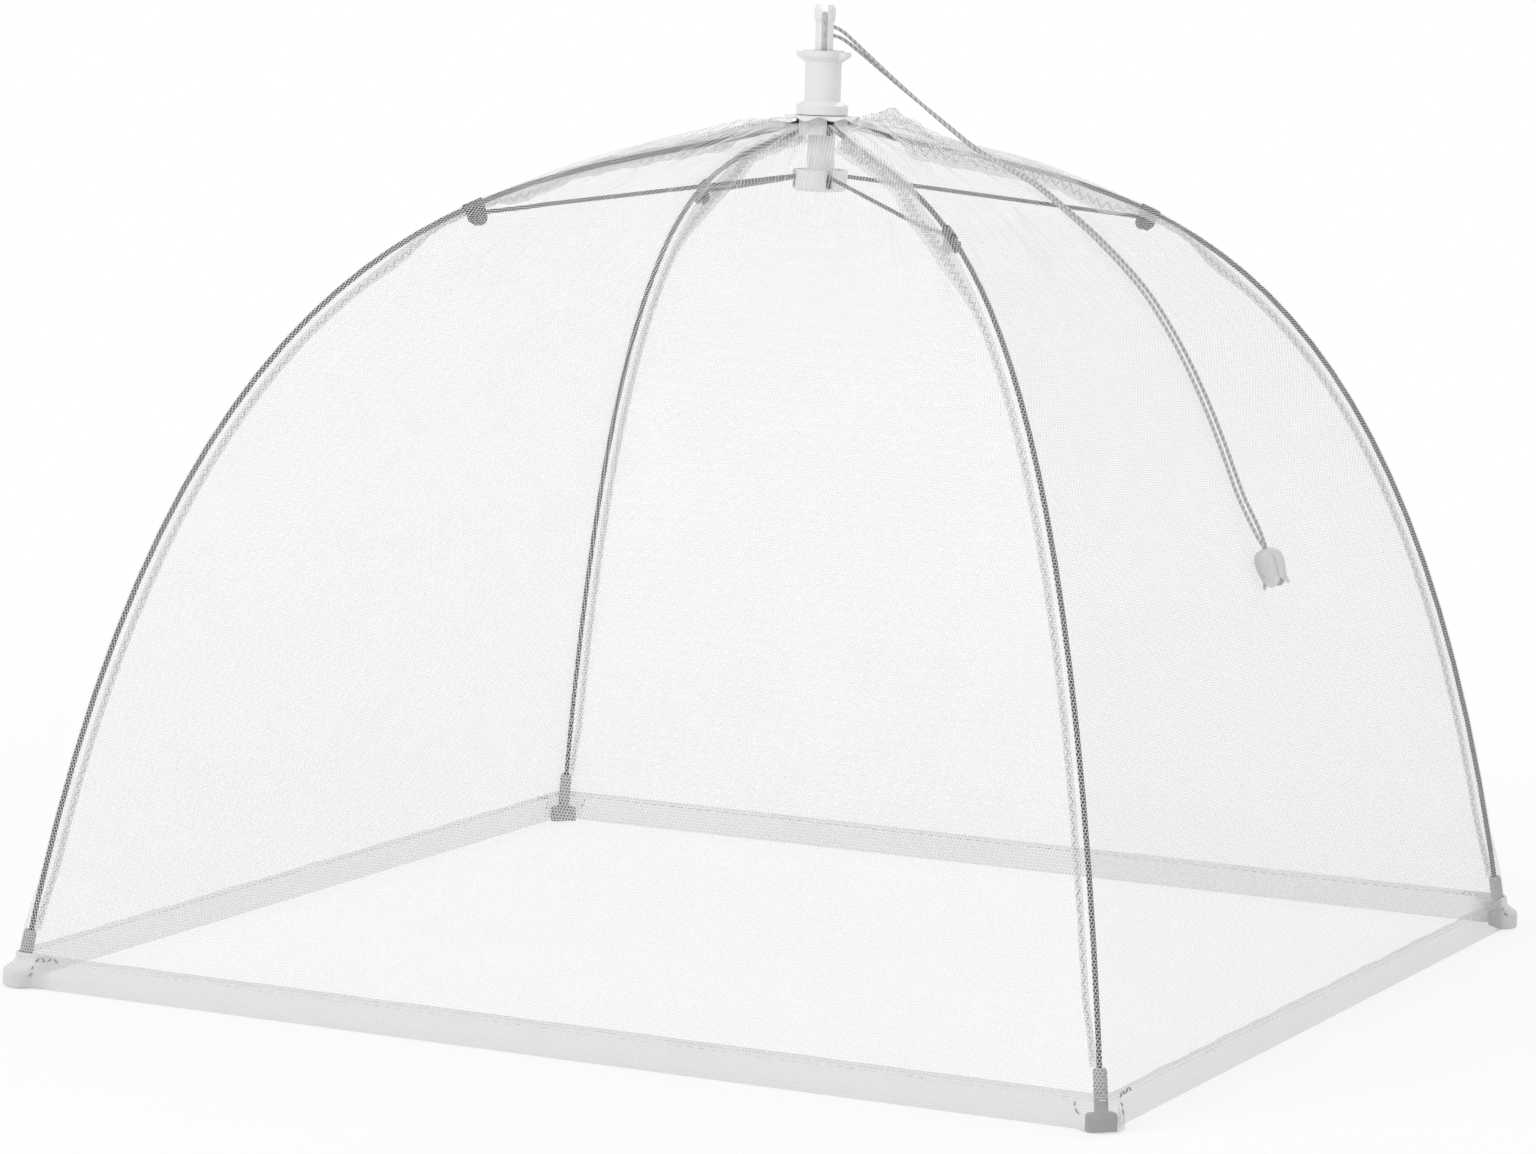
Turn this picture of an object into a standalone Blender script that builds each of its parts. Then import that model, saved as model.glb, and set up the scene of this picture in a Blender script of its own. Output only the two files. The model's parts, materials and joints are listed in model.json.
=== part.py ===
"""Pop-up mesh food cover: a square umbrella of netting on four bent wire ribs.

Metres, +Z up. The origin is the middle of the square mouth, on the surface that
the four feet stand on. The ribs stand in the four corners, on the diagonals, and
the netting panels face +X, +Y, -X and -Y.

Each rib and each stretcher is built in its own upright plane, with X outwards
from the column, Y across and Z up, about the axis of its hinge.
"""

import math

import bmesh
import bpy
from mathutils import Matrix, Vector

# Overall size of the open cover
BASE_SIDE = 0.430
CROWN_PIVOT_HEIGHT = 0.3146
CORNERS = 4

# Room between separate pieces, and how far a cutter runs past what it cuts
GAP = 0.0003
SIDE_PLAY = 0.0004
OVERRUN = 0.0010
SHARP_ANGLE = math.radians(35)

# Wires
RIB_WIRE_RADIUS = 0.0010
STRETCHER_WIRE_RADIUS = 0.0008
RING_WIRE_RADIUS = 0.0006
RING_RADIUS = 0.0080
RING_WIRE_SIDES = 6
HOOK_SWEEP = math.radians(240)
EYE_SWEEP = math.radians(300)
HOOK_STEPS = 9
EYE_STEPS = 11

# Rib curve, as shares of the run from the hinge out to the foot and down to it
RIB_START_SHARES = (0.314, 0.088)
RIB_END_SHARES = (0.798, -0.010)
RIB_STEPS = 32
RIB_END_HEIGHT = 0.0045

# Clip and rivet that carry the stretcher on the rib
CLIP_PLACE_SHARE = 0.405
CLIP_LENGTH = 0.0076
CLIP_SHEET = 0.0004
CLIP_TAIL_THICKNESS = 0.0010
CLIP_DROP = 0.0048
CLIP_TAIL_MARGIN = 0.0024
CLIP_TAIL_TIP_SHARE = 0.55
RIVET_RADIUS = 0.0009
RIVET_HEAD_RADIUS = 0.0019
RIVET_HEAD_THICKNESS = 0.0006
JOG_START_SHARE = 0.78
JOG_END_SHARE = 0.88
JOG_STEPS = 4

# Foot cap on the end of each rib
SLEEVE_RADIUS = 0.0024
SLEEVE_MOUTH_RADIUS = 0.0020
SLEEVE_TOP_HEIGHT = 0.0205
SLEEVE_LIP = 0.0012
FOOT_WIDTH = 0.0106
FOOT_DEPTH = 0.0052
FOOT_HEIGHT = 0.0062
FOOT_EDGE = 0.0013
FOOT_SOLE = 0.0010

# Netting, hem, seam binding and crown patch
NET_THICKNESS = 0.0005
NET_SAG = 0.0035
HEM_HEIGHT = 0.0110
HEM_THICKNESS = 0.0013
HEM_LIFT = 0.0004
TAPE_TOP_WIDTH = 0.0090
TAPE_MIDDLE_WIDTH = 0.0062
TAPE_END_WIDTH = 0.0026
TAPE_THICKNESS = 0.0005
TAPE_LEAN = math.radians(65)
TAPE_START_SHARE = 0.065
TAPE_FLAT_SHARE = 0.03
TAPE_UPRIGHT_SHARE = 0.10
TAPE_ROWS = 40
PATCH_THICKNESS = 0.0004
PATCH_OVERHANG = 0.0040
PATCH_DROOP = 0.0002
NET_ROWS = 16
NET_COLUMNS = 6

# Column: cap on the netting, notched ring under it, and the latch stem
BORE_WALL = 0.0011
STEM_RADIUS = 0.0034
STEM_BORE_RADIUS = 0.0017
STEM_HEAD_RADIUS = 0.0040
STEM_HEAD_HEIGHT = 0.0064
STEM_HEAD_TAPER = 0.0014
STEM_RISE = 0.0105
SLIT_WIDTH = 0.0020
SLIT_DEPTH = 0.0190
SLIT_TURN = math.radians(25)
CAP_FLANGE_RADIUS = 0.0097
CAP_FLANGE_THICKNESS = 0.0034
CAP_SHOULDER = 0.0016
CAP_BODY_RADIUS = 0.0068
CAP_BODY_HEIGHT = 0.0146
CAP_RIM_RADIUS = 0.0077
CAP_RIM_HEIGHT = 0.0042
CAP_EAR_REACH = 0.0100
CAP_EAR_WIDTH = 0.0056
CAP_EAR_DROP = 0.0030
CAP_EAR_INSET = 0.0005
NOTCH_OUTER_RADIUS = 0.0097
NOTCH_ROOF = 0.0007
NOTCH_SKIRT = 0.0026
RUNNER_RADIUS = 0.0103
RUNNER_FLOOR = 0.0012
RUNNER_WALL_RISE = 0.0040
RUNNER_CORNER = 0.0012
COLLAR_RADIUS = 0.0051
COLLAR_RISE = 0.0167
TURN_STEPS = 32

# Pull cord: its route from the stem over the netting to the bead, and the bead
CORD_RADIUS = 0.0006
CORD_SPACING = 0.0015
CORD_SPLAY = 0.0040
CORD_SPLAY_BIAS = 2.4
CORD_STEPS = 60
ROUTE_FINENESS = 12
BEAD_RADIUS = 0.0057
BEAD_LENGTH = 0.0150
BEAD_OUTLINE_SHARES = ((0.40, 0.0), (0.80, 0.09), (0.98, 0.26), (1.0, 0.45), (0.87, 0.76), (0.95, 1.0))
BEAD_WALL = 0.0012
BEAD_WALL_TOP = 0.0019
BEAD_TAPER_SHARE = 0.7
BEAD_HOLE_RADIUS = 0.0018
BEAD_HOLLOW_SHARE = 0.55
BEAD_PETALS = 4
BEAD_NOTCH_DEPTH = 0.0028
BEAD_TURN = math.radians(70)
KNOT_RADIUS = 0.0021
CORD_EXIT_REACHES = (0.0010, 0.0040)
CORD_ROUTE = (
    (-0.0012, 0.0068, 0.3509),
    (0.0034, 0.0094, 0.3488),
    (0.0100, 0.0120, 0.3432),
    (0.0190, 0.0152, 0.3352),
    (0.0290, 0.0192, 0.3264),
    (0.0390, 0.0235, 0.3178),
    (0.0480, 0.0272, 0.3103),
    (0.0550, 0.0296, 0.3056),
    (0.0640, 0.0285, 0.3017),
    (0.0770, 0.0240, 0.2966),
    (0.0900, 0.0185, 0.2896),
    (0.1074, 0.0151, 0.2777),
    (0.1250, 0.0150, 0.2613),
    (0.1390, 0.0130, 0.2440),
    (0.1509, 0.0112, 0.2252),
    (0.1603, 0.0095, 0.2075),
    (0.1689, 0.0080, 0.1892),
    (0.1755, 0.0058, 0.1790),
)
CORD_EXIT_DROP = 0.0026
CORD_SPREAD = 0.0026
CORD_MEETING_SHARE = 0.30
BEAD_TOP = (0.1812, 0.0040, 0.1700)
BEAD_LEAN = math.radians(21)

# Sizes that follow from the ones above
RIB_HOOK_RADIUS = RING_WIRE_RADIUS + GAP + RIB_WIRE_RADIUS
STRETCHER_HOOK_RADIUS = RING_WIRE_RADIUS + GAP + STRETCHER_WIRE_RADIUS
STRETCHER_EYE_RADIUS = RIVET_RADIUS + GAP + STRETCHER_WIRE_RADIUS
CLIP_BORE_RADIUS = RIB_WIRE_RADIUS + GAP
CLIP_RADIUS = CLIP_BORE_RADIUS + CLIP_SHEET
STRETCHER_SIDESTEP = CLIP_RADIUS + GAP + STRETCHER_WIRE_RADIUS
NET_STANDOFF = CLIP_RADIUS + GAP
FOOT_STANDOFF = SLEEVE_RADIUS + GAP
TAPE_STANDOFF = CLIP_RADIUS + GAP + TAPE_THICKNESS / 2
RUNNER_BORE_RADIUS = STEM_RADIUS + GAP
CROWN_BORE_RADIUS = STEM_HEAD_RADIUS + GAP
NOTCH_TOP = CROWN_PIVOT_HEIGHT + RIB_HOOK_RADIUS + RIB_WIRE_RADIUS + GAP + NOTCH_ROOF
NOTCH_BOTTOM = CROWN_PIVOT_HEIGHT - NOTCH_SKIRT
PATCH_BOTTOM = NOTCH_TOP + GAP
CAP_BOTTOM = PATCH_BOTTOM + PATCH_THICKNESS + GAP
CAP_TOP = CAP_BOTTOM + CAP_FLANGE_THICKNESS + CAP_SHOULDER + CAP_BODY_HEIGHT + CAP_RIM_HEIGHT
STEM_HEAD_BOTTOM = CAP_TOP + STEM_RISE
STEM_TOP = STEM_HEAD_BOTTOM + STEM_HEAD_HEIGHT
RUNNER_PIVOT_HEIGHT = NOTCH_BOTTOM - GAP - COLLAR_RISE
RUNNER_SLOT_FLOOR = RUNNER_PIVOT_HEIGHT - STRETCHER_HOOK_RADIUS - STRETCHER_WIRE_RADIUS - GAP
RUNNER_BOTTOM = RUNNER_SLOT_FLOOR - RUNNER_FLOOR
RUNNER_TOP = RUNNER_PIVOT_HEIGHT + RUNNER_WALL_RISE
RIB_END_RADIUS = math.sqrt(2) * (BASE_SIDE / 2 - FOOT_STANDOFF - HEM_THICKNESS)
HEM_CORNER_GAP = FOOT_WIDTH / math.sqrt(2) + 2 * GAP
BEAD_HOLLOW = BEAD_LENGTH * BEAD_HOLLOW_SHARE

CORNER_NAMES = ("back_right", "back_left", "front_left", "front_right")
SIDE_NAMES = ("right", "back", "left", "front")


def clear_scene():
    for old in list(bpy.data.objects):
        bpy.data.objects.remove(old, do_unlink=True)


def material(name, colour, roughness, metallic=0.0):
    """A Principled material of one colour."""
    made = bpy.data.materials.new(name)
    made.use_nodes = True
    shader = made.node_tree.nodes["Principled BSDF"]
    shader.inputs["Base Color"].default_value = (*colour, 1.0)
    shader.inputs["Roughness"].default_value = roughness
    shader.inputs["Metallic"].default_value = metallic
    return made


def materials():
    """The cover's finishes, by name."""
    return {
        "rib_wire": material("rib_wire", (0.16, 0.16, 0.17), 0.38, 0.9),
        "clip_metal": material("clip_metal", (0.20, 0.20, 0.21), 0.45, 0.8),
        "white_plastic": material("white_plastic", (0.80, 0.80, 0.79), 0.35),
        "foot_plastic": material("foot_plastic", (0.36, 0.36, 0.37), 0.5),
        "netting": material("netting", (0.86, 0.87, 0.88), 0.8),
        "hem_cloth": material("hem_cloth", (0.78, 0.79, 0.80), 0.85),
        "tape_cloth": material("tape_cloth", (0.74, 0.75, 0.76), 0.85),
        "cord_fibre": material("cord_fibre", (0.84, 0.84, 0.83), 0.8),
        "bead_plastic": material("bead_plastic", (0.62, 0.62, 0.62), 0.4),
    }


def mesh_object(name, bm, finish=None, parent=None):
    """A new object from bm, shaded smooth with sharp edges kept, its faces turned out."""
    bmesh.ops.recalc_face_normals(bm, faces=bm.faces)
    mesh = bpy.data.meshes.new(name)
    bm.to_mesh(mesh)
    bm.free()
    mesh.shade_smooth()
    mesh.set_sharp_from_angle(angle=SHARP_ANGLE)
    if finish:
        mesh.materials.append(finish)
    made = bpy.data.objects.new(name, mesh)
    bpy.context.scene.collection.objects.link(made)
    made.parent = parent
    return made


def tube(name, points, radius, finish, parent=None):
    """A wire or cord of round section through the points, with closed ends."""
    curve = bpy.data.curves.new(name, "CURVE")
    curve.dimensions = "3D"
    curve.twist_mode = "MINIMUM"
    curve.bevel_depth = radius
    curve.bevel_resolution = 2
    curve.use_fill_caps = True
    spline = curve.splines.new("POLY")
    spline.points.add(len(points) - 1)
    for place, point in zip(spline.points, points):
        place.co = (*point, 1.0)
    curve.materials.append(finish)
    made = bpy.data.objects.new(name, curve)
    bpy.context.scene.collection.objects.link(made)
    made.parent = parent
    return made


def turned(name, profile, finish=None, parent=None, steps=TURN_STEPS):
    """A solid of revolution about Z from a closed outline of (radius, height) points."""
    bm = bmesh.new()
    corners = [bm.verts.new((radius, 0, height)) for radius, height in profile]
    for first, second in zip(corners, corners[1:] + corners[:1]):
        bm.edges.new((first, second))
    bmesh.ops.spin(
        bm,
        geom=bm.verts[:] + bm.edges[:],
        cent=(0, 0, 0),
        axis=(0, 0, 1),
        angle=math.tau,
        steps=steps,
        use_merge=True,
        use_duplicate=False,
    )
    return mesh_object(name, bm, finish, parent)


def ring_wire(name, height, finish, parent):
    """The closed wire ring that the hooks hang on."""
    profile = [
        (
            RING_RADIUS + RING_WIRE_RADIUS * math.cos(math.tau * side / RING_WIRE_SIDES),
            height + RING_WIRE_RADIUS * math.sin(math.tau * side / RING_WIRE_SIDES),
        )
        for side in range(RING_WIRE_SIDES)
    ]
    return turned(name, profile, finish, parent)


def box(name, low, high, finish=None, parent=None):
    """A block between two corners."""
    bm = bmesh.new()
    size = Vector(high) - Vector(low)
    middle = (Vector(high) + Vector(low)) / 2
    bmesh.ops.create_cube(bm, size=1, matrix=Matrix.Translation(middle) @ Matrix.Diagonal((*size, 1)))
    return mesh_object(name, bm, finish, parent)


def rod(name, start, end, radius, sides=16, finish=None, parent=None):
    """A plain round bar between two points."""
    run = Vector(end) - Vector(start)
    turn = Vector((0, 0, 1)).rotation_difference(run).to_matrix().to_4x4()
    bm = bmesh.new()
    bmesh.ops.create_cone(
        bm,
        cap_ends=True,
        segments=sides,
        radius1=radius,
        radius2=radius,
        depth=run.length,
        matrix=Matrix.Translation((Vector(start) + Vector(end)) / 2) @ turn,
    )
    return mesh_object(name, bm, finish, parent)


def shell(name, outer, inner, finish, parent=None):
    """A closed sheet between two grids of points with the same rows and columns."""
    bm = bmesh.new()
    rows, columns = len(outer), len(outer[0])
    faces = [[[bm.verts.new(point) for point in row] for row in grid] for grid in (outer, inner)]
    for grid in faces:
        for row in range(rows - 1):
            for column in range(columns - 1):
                bm.faces.new(
                    (
                        grid[row][column],
                        grid[row][column + 1],
                        grid[row + 1][column + 1],
                        grid[row + 1][column],
                    )
                )
    rim = [(0, column) for column in range(columns)]
    rim += [(row, columns - 1) for row in range(1, rows)]
    rim += [(rows - 1, column) for column in range(columns - 2, -1, -1)]
    rim += [(row, 0) for row in range(rows - 2, 0, -1)]
    for (row, column), (next_row, next_column) in zip(rim, rim[1:] + rim[:1]):
        bm.faces.new(
            (
                faces[0][row][column],
                faces[0][next_row][next_column],
                faces[1][next_row][next_column],
                faces[1][row][column],
            )
        )
    return mesh_object(name, bm, finish, parent)


def combine(target, other, operation):
    """Cuts other from target, or joins it, and leaves one plain mesh."""
    other.hide_render = True
    other.display_type = "WIRE"
    modifier = target.modifiers.new(operation.lower(), "BOOLEAN")
    modifier.operation = operation
    modifier.object = other
    bpy.context.view_layer.update()
    evaluated = target.evaluated_get(bpy.context.evaluated_depsgraph_get())
    mesh = bpy.data.meshes.new_from_object(evaluated)
    target.modifiers.remove(modifier)
    target.data = mesh
    bpy.data.objects.remove(other, do_unlink=True)
    mesh.shade_smooth()
    mesh.set_sharp_from_angle(angle=SHARP_ANGLE)


def hinge_frame(name, corner, radius, height):
    """An empty on a hinge's axis: X points outwards along the corner's diagonal."""
    azimuth = math.tau * (corner + 0.5) / CORNERS
    frame = bpy.data.objects.new(name, None)
    frame.location = (radius * math.cos(azimuth), radius * math.sin(azimuth), height)
    frame.rotation_euler = (0, 0, azimuth)
    frame.empty_display_size = radius
    bpy.context.scene.collection.objects.link(frame)
    return frame


def across(vector):
    """A plane vector (out, up) turned a quarter turn towards the outside of the cover."""
    return Vector((-vector.y, vector.x))


def rib_handles():
    """The four handles (out, up) of the rib's curve, from its hinge to its end."""
    hinge = Vector((RING_RADIUS, CROWN_PIVOT_HEIGHT))
    end = Vector((RIB_END_RADIUS, RIB_END_HEIGHT))
    run = end - hinge
    start_handle = hinge + Vector((run.x * RIB_START_SHARES[0], run.y * RIB_START_SHARES[1]))
    end_handle = hinge + Vector((run.x * RIB_END_SHARES[0], run.y * RIB_END_SHARES[1]))
    lift = across((start_handle - hinge).normalized()) * RIB_HOOK_RADIUS
    return hinge + lift, start_handle + lift, end_handle, end


def rib_point(share):
    """The rib's centre line (out, up) at a share of its curve."""
    first, second, third, fourth = rib_handles()
    rest = 1 - share
    return (
        first * rest**3
        + second * (3 * rest**2 * share)
        + third * (3 * rest * share**2)
        + fourth * share**3
    )


def rib_direction(share):
    """The unit vector (out, up) along the rib, towards its foot."""
    first, second, third, fourth = rib_handles()
    rest = 1 - share
    slope = (
        (second - first) * rest**2
        + (third - second) * (2 * rest * share)
        + (fourth - third) * share**2
    )
    return slope.normalized()


def rib_share_at_height(height):
    """The share of the rib's curve at which it comes down to a height."""
    low, high = 0.0, 1.0
    for _ in range(40):
        middle = (low + high) / 2
        if rib_point(middle).y > height:
            low = middle
        else:
            high = middle
    return (low + high) / 2


def rivet_place():
    """The rivet's axis (out, up), under the rib."""
    return rib_point(CLIP_PLACE_SHARE) - across(rib_direction(CLIP_PLACE_SHARE)) * CLIP_DROP


def hook(centre, start, onward, radius, sweep, steps):
    """Points (out, up) of a hook that leaves start, a unit vector from its centre, and turns onward."""
    points = []
    for step in range(1, steps + 1):
        angle = sweep * step / steps
        points.append(centre + (start * math.cos(angle) + onward * math.sin(angle)) * radius)
    return points


def in_frame(point, frame_point, sideways=0):
    """A plane point (out, up) as a 3-D point about a hinge."""
    return Vector((point.x - frame_point.x, sideways, point.y - frame_point.y))


def build_rib(corner, finishes):
    """One corner's rib with its clip, rivet and foot cap, about the crown hinge."""
    name = CORNER_NAMES[corner]
    hinge = Vector((RING_RADIUS, CROWN_PIVOT_HEIGHT))
    frame = hinge_frame("hinge_rib_" + name, corner, RING_RADIUS, CROWN_PIVOT_HEIGHT)
    along = rib_direction(0)
    curl = hook(hinge, across(along), -along, RIB_HOOK_RADIUS, HOOK_SWEEP, HOOK_STEPS)
    line = curl[::-1] + [rib_point(step / RIB_STEPS) for step in range(RIB_STEPS + 1)]
    tube("rib_" + name, [in_frame(point, hinge) for point in line], RIB_WIRE_RADIUS, finishes["rib_wire"], frame)
    build_clip(name, hinge, frame, finishes)
    build_rivet(name, hinge, frame, finishes)
    build_foot(name, hinge, frame, finishes)
    build_tape(name, hinge, frame, finishes)


def build_clip(name, hinge, frame, finishes):
    """A strip folded round the rib, its two tails closed together and drilled for the rivet."""
    along = rib_direction(CLIP_PLACE_SHARE)
    outwards = across(along)
    middle = rib_point(CLIP_PLACE_SHARE)
    half = along * (CLIP_LENGTH / 2)
    past = along * OVERRUN
    start, end = (in_frame(point, hinge) for point in (middle - half, middle + half))
    clip = rod("rib_clip_" + name, start, end, CLIP_RADIUS, 16, finishes["clip_metal"], frame)
    tail_reach = CLIP_DROP + CLIP_TAIL_MARGIN
    outer, inner = [], []
    for drop, width_share in ((0, 1), (CLIP_DROP, 1), (tail_reach, CLIP_TAIL_TIP_SHARE)):
        level = middle - outwards * drop
        sides = [in_frame(level + half * (sign * width_share), hinge) for sign in (-1, 1)]
        outer.append([side + Vector((0, CLIP_TAIL_THICKNESS / 2, 0)) for side in sides])
        inner.append([side - Vector((0, CLIP_TAIL_THICKNESS / 2, 0)) for side in sides])
    tail = shell("tail", outer, inner, finishes["clip_metal"], frame)
    combine(clip, tail, "UNION")
    bore_start, bore_end = (in_frame(point, hinge) for point in (middle - half - past, middle + half + past))
    combine(clip, rod("bore", bore_start, bore_end, CLIP_BORE_RADIUS, 16, None, frame), "DIFFERENCE")
    place = rivet_place()
    reach = CLIP_TAIL_THICKNESS + OVERRUN
    drill = rod("drill", in_frame(place, hinge, -reach), in_frame(place, hinge, reach), RIVET_RADIUS + GAP, 12, None, frame)
    combine(clip, drill, "DIFFERENCE")


def build_rivet(name, hinge, frame, finishes):
    """The rivet through the clip's tail and the stretcher's eye, with a head at each end."""
    place = rivet_place()
    near = -(CLIP_TAIL_THICKNESS / 2 + GAP)
    far = STRETCHER_SIDESTEP + STRETCHER_WIRE_RADIUS + GAP
    metal = finishes["clip_metal"]
    rivet = rod("rivet_" + name, in_frame(place, hinge, near), in_frame(place, hinge, far), RIVET_RADIUS, 12, metal, frame)
    seat = RIVET_HEAD_THICKNESS / 2
    for inside, outside in ((near + seat, near - RIVET_HEAD_THICKNESS), (far - seat, far + RIVET_HEAD_THICKNESS)):
        inner_face = near if inside > near and outside < near else far
        head = rod("head", in_frame(place, hinge, inner_face), in_frame(place, hinge, outside), RIVET_HEAD_RADIUS, 12, metal, frame)
        combine(rivet, head, "UNION")


def build_foot(name, hinge, frame, finishes):
    """The plastic cap on the rib's end: a sleeve that leans with the rib, on a flat foot."""
    along = rib_direction(1)
    end = rib_point(1)
    slope = -along.y
    sleeve_length = (SLEEVE_TOP_HEIGHT - FOOT_HEIGHT / 2) / slope
    base = end + along * ((end.y - FOOT_HEIGHT / 2) / slope)
    profile = (
        (0, sleeve_length),
        (SLEEVE_MOUTH_RADIUS, sleeve_length),
        (SLEEVE_RADIUS, sleeve_length - SLEEVE_LIP),
        (SLEEVE_RADIUS, 0),
        (0, 0),
    )
    sleeve = turned("rib_foot_" + name, profile, finishes["foot_plastic"], None, 16)
    lean = Vector((0, 0, 1)).rotation_difference(Vector((-along.x, 0, -along.y))).to_matrix().to_4x4()
    sleeve.data.transform(Matrix.Translation(in_frame(base, hinge)) @ lean)
    sleeve.parent = frame
    middle = in_frame(end, hinge)
    half = Vector((FOOT_DEPTH / 2, FOOT_WIDTH / 2, 0))
    sole = -hinge.y
    foot = box(
        "foot",
        (middle.x - half.x, -half.y, sole),
        (middle.x + half.x, half.y, sole + FOOT_HEIGHT),
        finishes["foot_plastic"],
        frame,
    )
    soften_foot(foot, sole)
    combine(sleeve, foot, "UNION")
    bore_end = in_frame(end + along * GAP, hinge)
    mouth = in_frame(base - along * (sleeve_length + OVERRUN), hinge)
    combine(sleeve, rod("bore", bore_end, mouth, RIB_WIRE_RADIUS + GAP, 12, None, frame), "DIFFERENCE")


def tape_section(share, end):
    """The binding's lean from the rib's plane and its width at a share of the rib's curve."""
    flat = CLIP_PLACE_SHARE + TAPE_FLAT_SHARE
    turned_share = min(1.0, max(0.0, (share - flat) / TAPE_UPRIGHT_SHARE))
    lean = TAPE_LEAN * (1 + math.cos(math.pi * turned_share)) / 2
    if share < flat:
        part = (share - TAPE_START_SHARE) / (flat - TAPE_START_SHARE)
        return lean, TAPE_TOP_WIDTH + (TAPE_MIDDLE_WIDTH - TAPE_TOP_WIDTH) * part
    part = (share - flat) / (end - flat)
    return lean, TAPE_MIDDLE_WIDTH + (TAPE_END_WIDTH - TAPE_MIDDLE_WIDTH) * part


def build_tape(name, hinge, frame, finishes):
    """The bound seam of two netting sides, under the wire from the crown to the foot cap.

    It leans to one side as far as the clip, which it passes on the side without the
    stretcher, and from there it turns upright, into the rib's plane.
    """
    end = rib_share_at_height(SLEEVE_TOP_HEIGHT + GAP)
    grids = ([], [])
    for row in range(TAPE_ROWS + 1):
        share = TAPE_START_SHARE + (end - TAPE_START_SHARE) * row / TAPE_ROWS
        lean, width = tape_section(share, end)
        inwards = -across(rib_direction(share))
        for side, grid in zip((-1, 1), grids):
            line = []
            for depth in (TAPE_STANDOFF, TAPE_STANDOFF + width):
                off = side * TAPE_THICKNESS / 2
                below = depth * math.cos(lean) + off * math.sin(lean)
                beside = off * math.cos(lean) - depth * math.sin(lean)
                line.append(in_frame(rib_point(share) + inwards * below, hinge, beside))
            grid.append(line)
    shell("seam_tape_" + name, grids[0], grids[1], finishes["tape_cloth"], frame)


def soften_foot(foot, sole):
    """Rounds the foot's upright edges and top, and leaves its sole flat."""
    bm = bmesh.new()
    bm.from_mesh(foot.data)
    edges = [edge for edge in bm.edges if max(vertex.co.z for vertex in edge.verts) > sole + FOOT_SOLE]
    bmesh.ops.bevel(bm, geom=edges, offset=FOOT_EDGE, segments=2, profile=0.5, affect="EDGES")
    bmesh.ops.recalc_face_normals(bm, faces=bm.faces)
    bm.to_mesh(foot.data)
    bm.free()


def build_stretcher(corner, finishes):
    """The wire from the runner to the rib's rivet, hooked at both ends, about the runner hinge."""
    name = CORNER_NAMES[corner]
    hinge = Vector((RING_RADIUS, RUNNER_PIVOT_HEIGHT))
    rivet = rivet_place()
    frame = hinge_frame("hinge_stretcher_" + name, corner, RING_RADIUS, RUNNER_PIVOT_HEIGHT)
    run = rivet - hinge
    lean = math.asin((STRETCHER_HOOK_RADIUS - STRETCHER_EYE_RADIUS) / run.length)
    unit = run.normalized()
    start = across(unit) * math.cos(lean) + unit * math.sin(lean)
    along = -across(start)
    inner = hook(hinge, start, -along, STRETCHER_HOOK_RADIUS, HOOK_SWEEP, HOOK_STEPS)
    outer = hook(rivet, start, along, STRETCHER_EYE_RADIUS, EYE_SWEEP, EYE_STEPS)
    first = hinge + start * STRETCHER_HOOK_RADIUS
    last = rivet + start * STRETCHER_EYE_RADIUS
    points = [in_frame(point, hinge) for point in inner[::-1] + [first]]
    for step in range(JOG_STEPS + 1):
        share = JOG_START_SHARE + (JOG_END_SHARE - JOG_START_SHARE) * step / JOG_STEPS
        swing = (1 - math.cos(math.pi * step / JOG_STEPS)) / 2
        points.append(in_frame(first.lerp(last, share), hinge, STRETCHER_SIDESTEP * swing))
    points += [in_frame(point, hinge, STRETCHER_SIDESTEP) for point in [last] + outer]
    tube("stretcher_" + name, points, STRETCHER_WIRE_RADIUS, finishes["rib_wire"], frame)


def build_column(finishes):
    """The crown pieces that the netting is clamped between."""
    plastic = finishes["white_plastic"]
    build_cap(plastic)
    build_notch(plastic)
    ring_wire("crown_ring", CROWN_PIVOT_HEIGHT, finishes["rib_wire"], None)


def build_cap(plastic):
    """The cap over the netting: base flange, waist, rim and two finger ears."""
    shoulder = CAP_BOTTOM + CAP_FLANGE_THICKNESS
    waist = shoulder + CAP_SHOULDER
    rim = CAP_TOP - CAP_RIM_HEIGHT
    profile = (
        (CROWN_BORE_RADIUS, CAP_TOP),
        (CAP_RIM_RADIUS, CAP_TOP),
        (CAP_RIM_RADIUS, rim + CAP_RIM_HEIGHT / 2),
        (CAP_BODY_RADIUS, rim),
        (CAP_BODY_RADIUS, waist),
        (CAP_FLANGE_RADIUS - CAP_SHOULDER, shoulder + CAP_SHOULDER / 2),
        (CAP_FLANGE_RADIUS, shoulder),
        (CAP_FLANGE_RADIUS, CAP_BOTTOM),
        (CROWN_BORE_RADIUS, CAP_BOTTOM),
    )
    cap = turned("crown_cap", profile, plastic)
    half = CAP_EAR_WIDTH / 2
    for side in (-1, 1):
        outline = (
            (side * (CROWN_BORE_RADIUS + BORE_WALL), CAP_TOP - CAP_EAR_INSET),
            (side * CAP_EAR_REACH, CAP_TOP - CAP_EAR_INSET),
            (side * CAP_EAR_REACH, CAP_TOP - CAP_RIM_HEIGHT / 2),
            (side * (CROWN_BORE_RADIUS + BORE_WALL), CAP_TOP - CAP_RIM_HEIGHT / 2 - CAP_EAR_DROP),
        )
        rows = [[(out, sign * half, up) for sign in (-1, 1)] for out, up in outline]
        ear = shell("ear", rows[:2], rows[:1:-1], plastic)
        combine(cap, ear, "UNION")


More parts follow.
